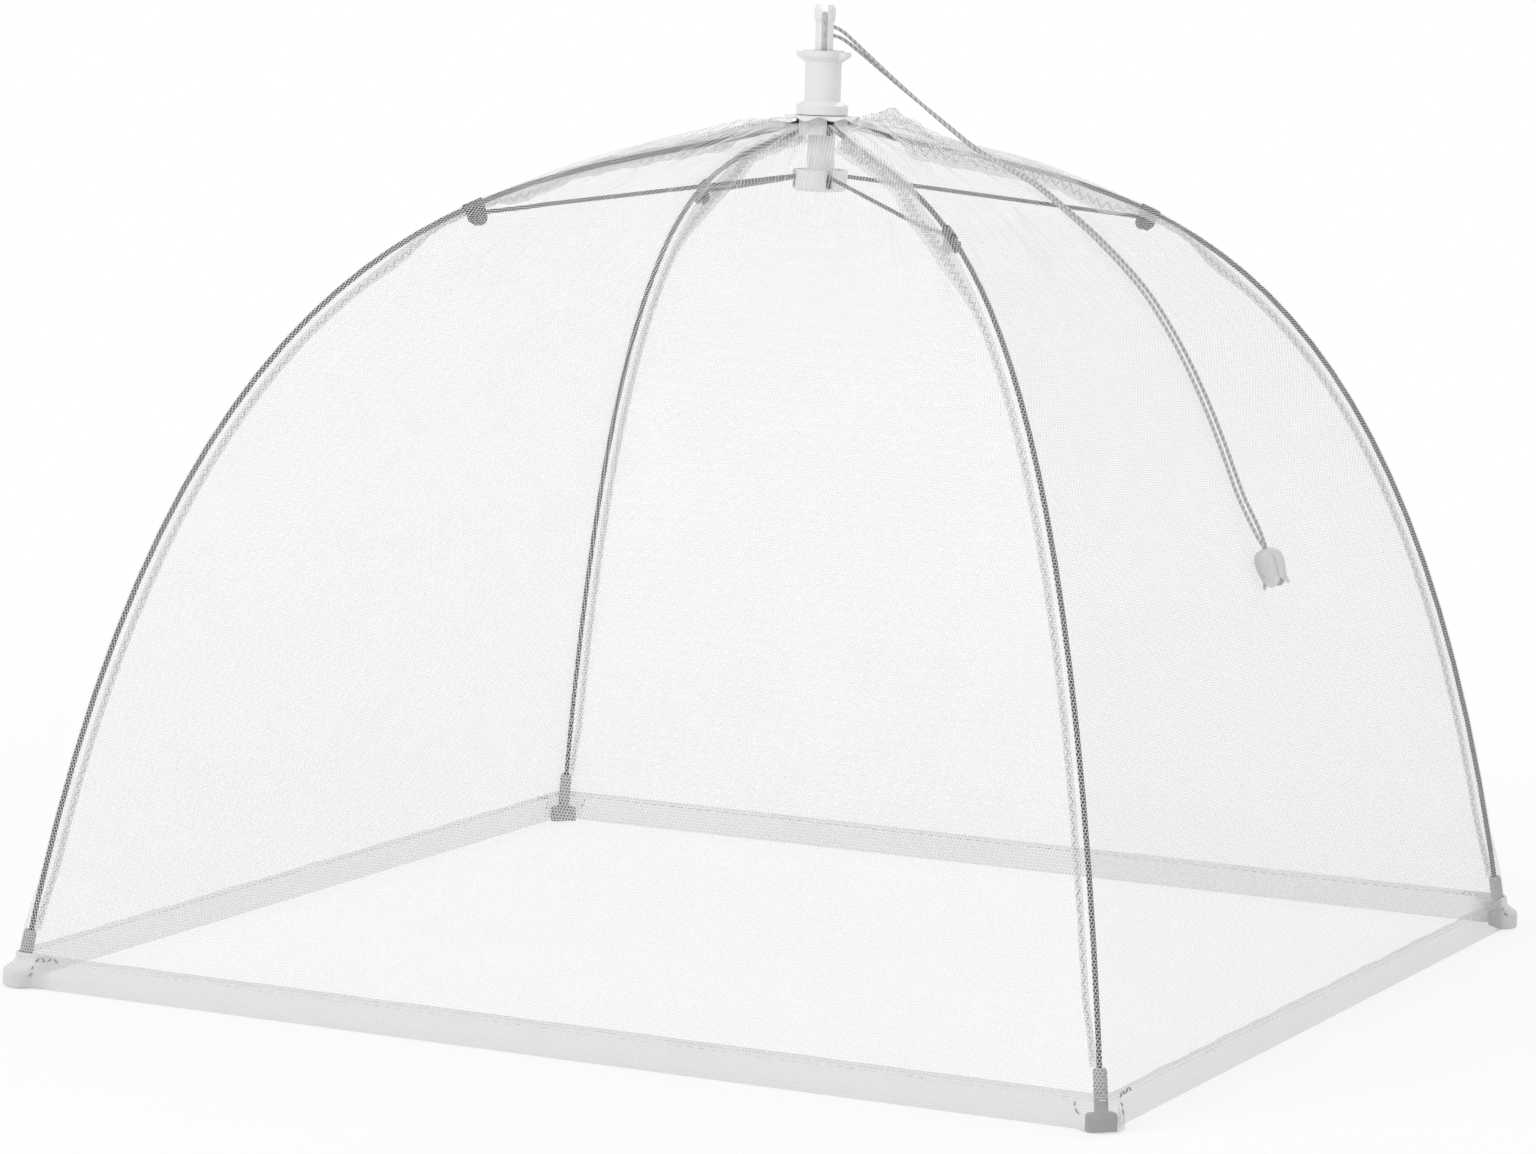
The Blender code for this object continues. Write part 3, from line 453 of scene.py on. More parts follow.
@dataclass(frozen=True)
class SewingThread:
    """Sewing thread."""

    name: str
    colour: Colour
    light: Colour

    def make(self) -> bpy.types.Material:
        """Builds the material: short light flecks on darker thread."""
        graph = Graph(self.name)
        fleck = graph.noise(1900.0, 2.0)
        graph.set_shader(
            Base_Color=graph.blend(fleck.ramp(0.35, 0.65), self.colour, self.light),
            Roughness=0.7 + (fleck - 0.5) * 0.2,
            Normal=graph.bump(fleck, 0.00008, 0.5),
        )
        return graph.owner


# ---- sums over arrays of points


def unit(vectors: Array) -> Array:
    """The vectors at length 1."""
    return vectors / np.maximum(np.linalg.norm(vectors, axis=-1, keepdims=True), 1e-12)


def smooth_step(value: Array) -> Array:
    """0 below 0, 1 above 1 and a smooth rise between them."""
    held = np.clip(value, 0, 1)
    return held * held * (3 - 2 * held)


def bell(value: Array, middle: float, width: float) -> Array:
    """A bell curve, 1 at its middle."""
    return np.exp(-(((value - middle) / width) ** 2))


def mixed(first: "float | Array", last: "float | Array", share: Array) -> Array:
    """Values on the way from the first to the last."""
    return first + (last - first) * share


def polar(points: Array) -> "tuple[Array, Array]":
    """The points' directions about Z and their distances from it."""
    x, y = points[..., 0], points[..., 1]
    return np.arctan2(y, x), np.hypot(x, y)


def turned_about_z(points: Array, angle: float) -> Array:
    """The points turned about Z."""
    c, s = math.cos(angle), math.sin(angle)
    turned = points.reshape(-1, 3) @ np.array([[c, s, 0], [-s, c, 0], [0, 0, 1.0]])
    return turned.reshape(points.shape)


def lengths_along(points: Array) -> Array:
    """The way along a line to each of its points."""
    steps = np.linalg.norm(np.diff(points, axis=0), axis=1)
    return np.concatenate([[0], np.cumsum(steps)])


def read_along(at: Array, way: Array, points: Array) -> Array:
    """A line's points at other ways along, where way is that of each given point."""
    return np.stack([np.interp(at, way, column) for column in points.T], -1)


def evenly(points: Array, count: int) -> Array:
    """Points at even steps along a line of straight pieces."""
    way = lengths_along(points)
    return read_along(np.linspace(0, way[-1], count), way, points)


def curve_through(guide: Array, count: int) -> Array:
    """Points of a smooth curve through the guide's points.

    Between two points the curve is a cubic whose slope at each is half the step
    between its neighbours.
    """
    padded = np.vstack([guide[0] * 2 - guide[1], guide, guide[-1] * 2 - guide[-2]])
    fine = np.linspace(0, len(guide) - 1, count)
    at = np.minimum(fine.astype(int), len(guide) - 2)
    t = (fine - at)[:, None]
    before, first, second, after = (padded[at + step] for step in range(4))
    bend = before * 2 - first * 5 + second * 4 - after
    twist = first * 3 - second * 3 + after - before
    return first + (second - before) * (t / 2) + bend * (t**2 / 2) + twist * (t**3 / 2)


# ---- meshes from grids of points


def face_grid(rows: int, count: int, wide: int) -> Array:
    """The four-sided faces between neighbouring points of a grid.

    Args:
        rows: rows of faces.
        count: faces in a row. Where it equals wide, the last one joins the first column.
        wide: points in a row.

    Returns:
        The numbers of each face's points, along its row and back along the next.
    """
    here = np.arange(rows)[:, None] * wide
    column = np.arange(count)[None, :]
    onward, there = (column + 1) % wide, here + wide
    faces = [here + column, here + onward, there + onward, there + column]
    return np.stack(faces, -1).reshape(-1, 4)


def cloth_grid(across: Array, along: Array) -> Array:
    """A grid's cloth coordinates, from metres across its columns and along its rows."""
    return np.stack(np.broadcast_arrays(across[None], along[:, None]), -1) / CLOTH_SPAN


def lay_cloth(mesh: bpy.types.Mesh, uv: Array, corners: Array) -> None:
    """Gives the corners of the faces their cloth coordinates, by the number of each in uv."""
    flat = uv.reshape(-1, 2)[corners.reshape(-1)].astype(np.float32)
    mesh.uv_layers.new(name="cloth").data.foreach_set("uv", flat.ravel())


def skin(name: str, grid: Array, finish: bpy.types.Material, uv: "Array | None" = None,
         closed: bool = False) -> bpy.types.Object:
    """An object over a grid of points.

    Args:
        name: the piece's name.
        grid: points, rows by columns by 3.
        finish: its material.
        uv: cloth coordinates, rows by columns (one more where it is closed) by 2.
        closed: whether the last column joins the first, and points in one place
            become one.

    Returns:
        The object, at the origin.
    """
    rows, columns = grid.shape[:2]
    count = columns if closed else columns - 1
    outward = [0, 3, 2, 1]
    mesh = bpy.data.meshes.new(name)
    fill(mesh, grid.reshape(-1, 3), face_grid(rows - 1, count, columns)[:, outward])
    if uv is not None:
        lay_cloth(mesh, uv, face_grid(rows - 1, count, uv.shape[1])[:, outward])
    if closed:
        merge(mesh)
    return finished(name, mesh, finish)


def tube(name: str, grid: Array, uv: Array, finish: bpy.types.Material,
         ended: bool = True) -> bpy.types.Object:
    """A tube over a grid of points, rings by points round it.

    Args:
        name: the piece's name.
        grid: its points, rings by columns by 3.
        uv: cloth coordinates, one column more.
        finish: its material.
        ended: whether its ends are closed flat, or open and run on into the next piece.

    Returns:
        The object, at the origin.
    """
    rows, columns = grid.shape[:2]
    ends = np.arange(columns // 2 - 1 if ended else 0)
    cap = np.stack([ends, ends + 1, columns - 2 - ends, columns - 1 - ends], -1)
    faces, corners = (
        np.concatenate([face_grid(rows - 1, columns, wide), cap[:, ::-1], (rows - 1) * wide + cap])
        for wide in (columns, columns + 1)
    )
    mesh = bpy.data.meshes.new(name)
    fill(mesh, grid.reshape(-1, 3), faces)
    lay_cloth(mesh, uv, corners)
    merge(mesh)
    return finished(name, mesh, finish)


def fill(mesh: bpy.types.Mesh, points: Array, quads: Array) -> None:
    """Puts points and four-sided faces into an empty mesh."""
    mesh.vertices.add(len(points))
    mesh.vertices.foreach_set("co", points.astype(np.float32).ravel())
    mesh.loops.add(quads.size)
    mesh.loops.foreach_set("vertex_index", quads.astype(np.int32).ravel())
    mesh.polygons.add(len(quads))
    mesh.polygons.foreach_set("loop_start", np.arange(0, quads.size, 4, dtype=np.int32))
    mesh.update(calc_edges=True)
    mesh.validate()


def merge(mesh: bpy.types.Mesh) -> None:
    """Makes points in one place one, drops collapsed faces and turns the faces out."""
    bm = bmesh.new()
    bm.from_mesh(mesh)
    bmesh.ops.remove_doubles(bm, verts=bm.verts, dist=1e-7)
    bmesh.ops.dissolve_degenerate(bm, edges=bm.edges, dist=1e-8)
    bmesh.ops.recalc_face_normals(bm, faces=bm.faces)
    sharp = [edge.calc_face_angle(0.0) > SHARP_ANGLE for edge in bm.edges]
    bm.to_mesh(mesh)
    bm.free()
    mesh.attributes.new("sharp_edge", "BOOLEAN", "EDGE").data.foreach_set("value", sharp)


def finished(name: str, mesh: bpy.types.Mesh, finish: bpy.types.Material) -> bpy.types.Object:
    """An object of the mesh, smooth and in its material."""
    mesh.materials.append(finish)
    mesh.polygons.foreach_set("use_smooth", [True] * len(mesh.polygons))
    made = bpy.data.objects.new(name, mesh)
    bpy.context.scene.collection.objects.link(made)
    return made


def points_of(mesh: bpy.types.Mesh) -> Array:
    """The mesh's points."""
    points = np.empty(3 * len(mesh.vertices), np.float32)
    mesh.vertices.foreach_get("co", points)
    return points.reshape(-1, 3).astype(float)


def rings_round(line: Array, slope: Array, side: Array, sides: int,
                radius: "float | Array") -> Array:
    """Rings of points round a line.

    Args:
        line: the points of the line.
        slope: its direction at each.
        side: where each ring starts, square to the slope.
        sides: points in a ring.
        radius: one radius, or one for each ring.

    Returns:
        The points, rings by sides by 3.
    """
    rise = np.cross(side, slope)[:, None]
    angle = (math.tau * np.arange(sides) / sides)[None, :, None]
    ring = side[:, None] * np.cos(angle) + rise * np.sin(angle)
    return line[:, None] + ring * np.reshape(radius, (-1, 1, 1))


def stitches(name: str, body: "str | Corner", thread: bpy.types.Material, starts: Array,
             ends: Array, outward: Array, radius: float, lift: float) -> None:
    """A piece of short stitches, each a closed capsule.

    Along each stitch the centre rises over the cloth as a half sine. The radius is the
    root of one less the fourth power of the way from the middle, so that both ends close.

    Args:
        name: the piece's name.
        body: the body it rides on, or its corner, which hands it to bend_with_rib.
        thread: its material.
        starts: where each stitch goes in, stitches by 3.
        ends: where it comes out.
        outward: the cloth's outward direction at each.
        radius: the thread's radius.
        lift: how far the middle stands off the cloth.
    """
    rings, sides = 5, 6
    share = np.linspace(0, 1, rings)
    swell = np.sqrt(np.maximum(0.0, 1 - (2 * share - 1) ** 4))
    swell[[0, -1]] = 0.25
    along = unit(ends - starts)
    side = unit(np.cross(along, outward))
    rise = unit(np.cross(side, along))
    centre = starts[:, None] + (ends - starts)[:, None] * share[None, :, None]
    centre = centre + rise[:, None] * (lift * np.sin(math.pi * share))[None, :, None]
    angle = (math.tau * np.arange(sides) / sides)[:, None]
    ring = side[:, None, None] * np.cos(angle) + rise[:, None, None] * np.sin(angle)
    points = centre[:, :, None] + ring * (radius * swell)[None, :, None, None]
    cap = np.array([[5, 4, 1, 0], [4, 3, 2, 1]])
    far_cap = (rings - 1) * sides + cap[:, ::-1]
    faces = np.concatenate([face_grid(rings - 1, sides, sides), cap, far_cap])
    faces = faces[None] + np.arange(len(starts))[:, None, None] * (rings * sides)
    mesh = bpy.data.meshes.new(name)
    fill(mesh, points.reshape(-1, 3), faces.reshape(-1, 4))
    settle(finished(name, mesh, thread), "tape_cloth", body)


def settle(piece: bpy.types.Object, slot: str, body: "str | Corner", *nodes: str) -> None:
    """Hides the nodes a piece stands in for and hangs it on the body it rides on, or hands a
    corner's piece to bend_with_rib.
    """
    if nodes:
        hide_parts(*nodes)
    if isinstance(body, Corner):
        bend_with_rib(piece)
    else:
        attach(piece, body)


# ---- the rib's curve and the cloth that follows it


@dataclass
class RibCurve:
    """One rib's centre line (out, up), from its hook on the crown to its foot.

    The line is a cubic curve with four handles, and the netting's section through the
    middle of a side is the same line drawn in by the slant of the diagonal.
    """

    ring_radius: float = 0.0080
    crown_height: float = 0.3146
    hook_radius: float = 0.0019
    end_radius: float = 0.29839906
    end_height: float = 0.0045
    start_shares: "tuple[float, float]" = (0.314, 0.088)
    end_shares: "tuple[float, float]" = (0.798, -0.010)
    clip_share: float = 0.405

    def handles(self) -> Array:
        """The curve's four handles."""
        hinge = np.array([self.ring_radius, self.crown_height])
        end = np.array([self.end_radius, self.end_height])
        first = hinge + (end - hinge) * np.array(self.start_shares)
        last = hinge + (end - hinge) * np.array(self.end_shares)
        slope = unit(first - hinge)
        lift = np.array([-slope[1], slope[0]]) * self.hook_radius
        return np.array([hinge + lift, first + lift, last, end])

    def point(self, share: Array) -> Array:
        """Points of the centre line at shares of the curve: the cubic of its handles."""
        p = self.handles()
        t = np.asarray(share, float)[..., None]
        s = 1 - t
        return p[0] * s**3 + p[1] * 3 * s**2 * t + p[2] * 3 * s * t**2 + p[3] * t**3

    def direction(self, share: Array) -> Array:
        """Unit directions along the line, towards the foot."""
        first, middle, last = np.diff(self.handles(), axis=0)
        t = np.asarray(share, float)[..., None]
        s = 1 - t
        return unit(first * s**2 + middle * 2 * s * t + last * t**2)

    def share_at_height(self, height: float) -> float:
        """The share at which the line comes down to a height."""
        shares = np.linspace(0, 1, 4001)
        heights = self.point(shares)[:, 1]
        return float(np.interp(-height, -heights, shares))

    def wall(self, share: Array, standoff: Array) -> "tuple[Array, Array]":
        """The cloth's section through the middle of a side.

        Args:
            share: shares of the rib's curve.
            standoff: how far outside the rib's line the cloth is, at each.

        Returns:
            Its points (out, up) and its outward directions (out, up).
        """
        point, slope = self.point(share), self.direction(share)
        flat = unit(slope * np.array([1 / ROOT_TWO, 1.0]))
        outward = np.stack([-flat[..., 1], flat[..., 0]], -1)
        place = point * np.array([1 / ROOT_TWO, 1.0]) + outward * np.asarray(standoff)[..., None]
        return place, outward


def rib_weight(points: Array) -> Array:
    """How far each point follows its rib rather than the crown.

    The weight falls evenly from 1 beside the rib to 0 on the middle line of the side,
    and rises smoothly over the first centimetres out from the crown.
    """
    out = np.maximum(np.abs(points[:, 0]), np.abs(points[:, 1]))
    beside = out - np.minimum(np.abs(points[:, 0]), np.abs(points[:, 1]))
    held = np.minimum(0.006, out * 0.2)
    weight = 1 - np.clip((beside - held) / np.maximum(out - held, 1e-6), 0, 1)
    return weight * smooth_step((out - 0.011) / 0.022)


def bend_with_rib(piece: bpy.types.Object) -> None:
    """Bakes a piece's placement into its points and works out its rib_weight, which is not kept.
    """
    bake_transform(piece)
    weights = rib_weight(points_of(piece.data)).astype(np.float32)


# ---- sub-assemblies


@dataclass
class Canopy:
    """The netting, its hems and the round patch under the cap."""

    rib: RibCurve = field(default_factory=RibCurve)
    rows: int = 130
    columns: int = 46
    wire_standoff: float = 0.0013
    clip_standoff: float = 0.0020
    sleeve_standoff: float = 0.0028
    slack: float = 0.0030
    sag: float = 0.0036
    crown_out: float = 0.0101
    pleats: int = 11
    pleat_depth: float = 0.0017
    creases: "tuple[float, ...]" = (-35.0, -24.0, -14.0, -3.0, 9.0, 20.0, 31.0)
    crease_depth: float = 0.0012
    crease_width: float = 0.0014
    hem_height: float = 0.0124
    hem_lift: float = 0.0004
    hem_thickness: float = 0.0013
    pocket: "tuple[tuple[float, float], ...]" = (
        (0.0170, 0.0), (0.0132, 0.0), (0.0094, 0.0005), (0.0052, 0.0033), (0.0009, 0.0028),
        (-0.0010, 0.0010),
    )
    corner_radius: float = 0.0042
    pocket_height: float = 0.0062
    gather_height: float = 0.0036
    sleeve_top: float = 0.0205
    stitch_pitch: float = 0.0044
    stitch_length: float = 0.0029
    tacks: "tuple[tuple[float, float], ...]" = (
        (-0.0104, 0.0088), (-0.0110, 0.0066), (0.0100, 0.0108), (0.0100, 0.0080), (0.0112, 0.0056),
        (0.0128, 0.0112), (0.0156, 0.0114), (0.0184, 0.0114),
    )
    doubled: "tuple[Corner, ...]" = (Corner.FRONT_LEFT, Corner.BACK_RIGHT)
    foot_out: float = 0.2984
    pocket_reach: float = 0.0150
    pocket_blend: float = 0.0090
    hem_standoff: float = 0.0027
    hump_height: float = 0.0067
    ripple_depth: float = 0.0009
    thread_radius: float = 0.0002
    tack_radius: float = 0.0003
    tack_reach: float = 0.0009
    tack_tilt: float = 0.0008
    clip_reach: float = 0.016
    slack_start: float = 0.02
    slack_rise: float = 0.08
    slack_end: float = 0.385
    slack_fall: float = 0.17
    pleat_reach: float = 0.055
    pleat_start: float = 0.010
    seam_held: float = 0.0015
    seam_free: float = 0.006
    hump_turn: "tuple[float, float]" = (0.10, 0.42)
    hump_out: "tuple[float, float]" = (0.0275, 0.014)
    ripple_beside: "tuple[float, float]" = (0.016, 0.014)
    ripple_start: float = 0.09
    ripple_rise: float = 0.05
    crease_reach: float = 0.105
    crease_spread: float = 0.035
    crease_start: float = 0.014
    crease_rise: float = 0.012
    crease_fall: float = 0.055
    patch_radii: "tuple[float, ...]" = (0.0044, 0.0097, 0.0118, 0.0138)
    patch_thickness: float = 0.0004
    patch_gap: float = 0.0003
    patch_held: float = 0.0098
    patch_free: float = 0.004
    patch_droop: float = 0.0009

    def standoff(self, share: Array) -> Array:
        """How far the cloth stands off the rib's line.

        It lies close to the wire, floats over the first third of the rib, where the
        netting is slack, and is pushed out over the clip and over the foot's sleeve.
        """
        near_clip = bell(share, self.rib.clip_share, self.clip_reach)
        close = mixed(self.wire_standoff, self.clip_standoff, near_clip)
        loose = self.slack * smooth_step((share - self.slack_start) / self.slack_rise)
        loose = loose * smooth_step((self.slack_end - share) / self.slack_fall)
        over = smooth_step(2 - self.rib.point(share)[..., 1] / self.sleeve_top)
        return close + loose + (self.sleeve_standoff - self.wire_standoff) * over

    def first_share(self) -> float:
        """The share at which the cloth leaves the cap's flange."""
        shares = np.linspace(0, 0.2, 2001)
        place, _ = self.rib.wall(shares, self.standoff(shares))
        return float(np.interp(self.crown_out, place[:, 0], shares))

    def puckers(self, points: Array, share: Array) -> Array:
        """How far the gathered cloth stands off its plain surface, in metres.

        Two sines over the way round the crown make pleats that die away down the side.
        One smooth hump stands beside the cap, over the right side, and long shallow
        waves run down beside the seams.
        """
        angle, out = polar(points)
        fold = np.sin(angle * 4 * self.pleats + 0.7 * np.sin(angle * 4)) * 0.6
        fold = fold + np.sin(angle * (4 * self.pleats - 12) + 1.3) * 0.4
        fade = np.exp(-out / self.pleat_reach)
        fade = fade * smooth_step((out - self.pleat_start) / self.pleat_start)
        beside = np.abs(np.abs(points[..., 0]) - np.abs(points[..., 1]))
        free = smooth_step((beside - self.seam_held) / self.seam_free)
        hump = self.hump_height * bell(angle, *self.hump_turn) * bell(out, *self.hump_out)
        hump = hump * (1 + 0.16 * np.sin(out * 520 + angle * 9) + 0.10 * np.sin(angle * 31))
        ripple = self.ripple_depth * np.sin(share * 61 + np.cos(angle * 4) * 3.0)
        ripple = ripple * bell(beside, *self.ripple_beside)
        ripple = ripple * smooth_step((out - self.ripple_start) / self.ripple_rise)
        return (fold * self.pleat_depth * fade * 2.0 + ripple) * free + hump

    def crease_lines(self, points: Array) -> Array:
        """How far the cloth stands out on the creases that run out from the crown, in metres.

        Each crease is a straight line from the middle. Its ridge is a bell curve of the
        distance across it, and fades out along it.
        """
        angle, out = (item[..., None] for item in polar(points))
        middle = np.repeat(np.arange(4), len(self.creases))
        number = np.arange(len(middle))
        spread = np.tile(self.creases, 4) + 2.4 * np.sin(number * 2.3)
        rays = math.tau * middle / 4 + np.radians(spread)
        turn = (angle - rays + math.pi) % math.tau - math.pi
        reach = self.crease_reach + self.crease_spread * np.sin(number * 1.7)
        strength = smooth_step((out - self.crease_start) / self.crease_rise)
        strength = strength * smooth_step((reach - out) / self.crease_fall)
        strength = strength * (0.75 + 0.25 * np.cos(number * 2.9))
        near = smooth_step((0.9 - np.abs(turn)) / 0.5)
        ridge = bell(out * np.sin(turn), 0.0, self.crease_width) * strength * near
        return ridge.sum(-1) * self.crease_depth

    def quarter(self, corner: Corner, start: float, end: float) -> "tuple[Array, Array]":
        """One quarter of the cloth, from middle line to middle line over the corner's rib.

        On each side the cloth is the section carried across the side, with a sag that
        is a parabola across and a half sine down. Round the rib the two sides join in
        a quarter circle, so that the ridge is round.

        Args:
            corner: whose rib it covers.
            start: the share of the rib's curve at its top edge.
            end: the share at its lower edge.

        Returns:
            The points, rows by columns by 3, and their cloth coordinates.
        """
        share = np.linspace(start, end, self.rows + 1)
        standoff = self.standoff(share)
        place, outward = self.rib.wall(share, standoff)
        half, up = place[:, :1], place[:, 1:]
        way = np.linspace(0, 1, self.columns + 1) ** 1.5
        radius = np.minimum(standoff[:, None], half * 0.3)
        nearest = radius * (1 - 1 / ROOT_TWO)
        beside = nearest + (half - nearest) * way[None, ::-1]
        across = half - beside
        level = np.clip(across / half, 0, 1)
        part = (share - start)[:, None] / (end - start)
        drop = radius - np.sqrt(np.maximum(0, radius**2 - (radius - beside) ** 2))
        drop = np.where(beside < radius, drop, 0.0)
        pull = drop + self.sag * (1 - level**2) * np.sin(math.pi * part)
        flat = np.stack(np.broadcast_arrays(half - pull, across, up), -1)
        normal = np.stack([outward[:, 0], np.zeros(len(share)), outward[:, 1]], -1)[:, None]
        sides = []
        for axes in ([0, 1, 2], [1, 0, 2]):
            world = turned_about_z(flat[..., axes], corner.turn)
            lift = self.puckers(world, share[:, None]) + self.crease_lines(world)
            sides.append(world + turned_about_z(normal[..., axes], corner.turn) * lift[..., None])
        grid = np.concatenate([sides[0], sides[1][:, -2::-1]], axis=1)
        u = (level - 1) * half
        u = np.concatenate([u, -u[:, -2::-1]], axis=1)
        v = lengths_along(place)[:, None]
        return grid, np.stack(np.broadcast_arrays(u / CLOTH_SPAN + 0.5, v / CLOTH_SPAN), -1)

    def build_netting(self, finish: bpy.types.Material) -> None:
        """The four quarters of netting."""
        start = self.first_share()
        end = self.rib.share_at_height(self.hem_height + self.hem_lift - 0.002)
        for corner in Corner:
            grid, uv = self.quarter(corner, start, end)
            piece = skin("netting_" + corner.label, grid, finish, uv)
            settle(piece, "netting", corner, *["net_" + side for side in corner.sides])
            LOG.info("%s: %d points", piece.name, grid.shape[0] * grid.shape[1])

    def hem_lines(self, corner: Corner, count: int) -> HemLines:
        """The hem's lines from one side's middle round the corner to the next side's middle.

        Both lines are straight along the sides. The low one swings out round the foot
        as a smooth curve through given points, and the high one turns the corner as a
        quarter circle. The points of the two are paired by their share of the way.

        Args:
            corner: the corner that they turn.
            count: the points of each.

        Returns:
            The low and the high line's points, the outward directions of each point
            and the way along in metres.
        """
        place, _ = self.rib.wall(np.array([1.0]), np.array([self.hem_standoff]))
        half = float(place[0, 0])
        guide = np.array([(half + swing, half - back) for back, swing in self.pocket])
        guide = curve_through(np.concatenate([guide, guide[-2::-1, ::-1]]), 240)
        turn = np.linspace(0, math.pi / 2, 24)
        inner, radius = half - self.corner_radius, self.corner_radius
        bend = inner + radius * np.stack([np.cos(turn), np.sin(turn)], -1)
        low, high = (
            evenly(np.concatenate([[(half, 0.0)], line, [(0.0, half)]]), count)
            for line in (guide, bend)
        )
        slope = unit(np.gradient(low, axis=0))
        outward = np.stack([slope[:, 1], -slope[:, 0]], -1)
        way = lengths_along(low)
        low, high, outward = (
            turned_about_z(np.column_stack([item, np.zeros(count)]), corner.turn)
            for item in (low, high, outward)
        )
        return low, high, outward, way

    def hem_section(self, way: Array, sides: int) -> "tuple[Array, Array]":
        """The hem's section at each place along: a soft flat loop of folded cloth.

        The section is two flat faces joined by rounded folds, with a shallow dent at
        the stitching. Cosines of the way from the nearer side's middle make it soft.

        Args:
            way: the way along, in metres.
            sides: points round the section.

        Returns:
            How far out and how far up each point is, places by sides.
        """
        straight = sides // 2 - 3
        rise = np.linspace(-0.90, 0.90, straight)
        bend = np.array([-0.97, 0.0, 0.97])
        up = np.concatenate([rise, [0.965, 1.0, 0.965], rise[::-1], [-0.965, -1.0, -0.965]])
        out = np.concatenate([np.ones(straight), -bend * 0.75, -np.ones(straight), bend * 0.75])
        along = np.minimum(way, way[-1] - way)
        fade = smooth_step((way[-1] / 2 - along) / 0.02)
        wave = (0.00034 * np.cos(along * 210) + 0.00034 * np.cos(along * 93)) * fade
        dent = 1 - 0.40 * bell(up, 0.66, 0.13)
        thick = self.hem_thickness / 2
        across = thick + out * dent * thick + wave[:, None] * (0.5 + up * 0.5)
        height = self.hem_height / 2
        return across, np.broadcast_to(self.hem_lift + height + up * height, across.shape)

    def lean_of_hem(self, up: Array) -> Array:
        """How far out the wall is at a height near the table."""
        shares = np.linspace(0.9, 1, 400)
        place, _ = self.rib.wall(shares, np.full(400, self.hem_standoff))
        return np.interp(-up, -place[:, 1], place[:, 0]) - place[-1, 0]

    def on_hem(self, lines: HemLines, way: Array, out: "float | Array", up: Array) -> Array:
        """Points on the hem at ways along, distances out and heights.

        Up to the foot's top a point follows the low line, and from there on it goes
        over to the high line.
        """
        low, high, outward = (read_along(way, lines[3], item) for item in lines[:3])
        part = smooth_step((up - self.pocket_height) / self.gather_height)[..., None]
        away = (out + self.lean_of_hem(up))[..., None]
        point = low * (1 - part) + high * part + unit(outward) * away
        point[..., 2] = up
        return point

    def build_hems(self, finish: bpy.types.Material, thread: bpy.types.Material,
                   dark: bpy.types.Material) -> None:
        """The folded hems, in one piece round each corner, their stitches and their tacks."""
        count, sides = 300, 28
        for corner in Corner:
            lines = self.hem_lines(corner, count)
            way = lines[3]
            out, up = self.hem_section(way, sides)
            grid = self.on_hem(lines, np.broadcast_to(way[:, None], out.shape), out, up)
            uv = cloth_grid(np.linspace(0, 2 * self.hem_height, sides + 1), way)
            piece = tube("hem_band_" + corner.label, grid[:, ::-1], uv, finish, ended=False)
            self.mark_pocket(piece.data, corner)
            settle(piece, "hem_cloth", corner, *["hem_" + side for side in corner.sides])
            at = np.arange(0.003, way[-1] - 0.006, self.stitch_pitch)
            level = np.full(len(at), self.hem_lift + self.hem_height * 0.83)
            self.sew("hem_stitches_", corner, lines, (at, level), (at + self.stitch_length, level),
                     self.hem_thickness * 0.80, self.thread_radius, thread)
            beside, level = np.array(self.tacks).T
            at = way[-1] / 2 + beside
            tilt = np.where(np.arange(len(at)) % 2 == 0, self.tack_tilt, -self.tack_tilt)
            ends = [(at + turn * self.tack_reach, level + turn * tilt) for turn in (-1, 1)]
            self.sew("corner_tacks_", corner, lines, *ends, self.hem_thickness * 1.02,
                     self.tack_radius, dark)
            LOG.info("hem_band_%s: %.3f m", corner.label, way[-1])

    def mark_pocket(self, mesh: bpy.types.Mesh, corner: Corner) -> None:
        """Marks a hem's cloth by its nearness to the foot, where the corner is doubled."""
        foot = turned_about_z(np.array([[self.foot_out, 0.0, 0.0]]), corner.azimuth)[0]
        away = np.linalg.norm(points_of(mesh)[:, :2] - foot[:2], axis=1)
        near = smooth_step((self.pocket_reach - away) / self.pocket_blend)
        near = (near * float(corner in self.doubled)).astype(np.float32)
        mesh.attributes.new("pocket", "FLOAT", "POINT").data.foreach_set("value", near)

    def sew(self, name: str, corner: Corner, lines: HemLines, first: "tuple[Array, Array]",
            last: "tuple[Array, Array]", stand: float, radius: float,
            thread: bpy.types.Material) -> None:
        """A row of stitches on a hem as one object.

        Args:
            name: the piece's name, less its corner's.
            corner: the hem's corner.
            lines: the hem's lines.
            first: the way along and the height at which each stitch goes in.
            last: the same where it comes out.
            stand: how far out of the hem's inner face the ends are.
            radius: the thread's radius.
            thread: its material.
        """
        starts, ends = (self.on_hem(lines, way, stand, up) for way, up in (first, last))
        over = self.on_hem(lines, first[0], stand + 0.001, first[1])
        stitches(name + corner.label, corner, thread, starts, ends, unit(over - starts),
                 radius, radius * 0.8)

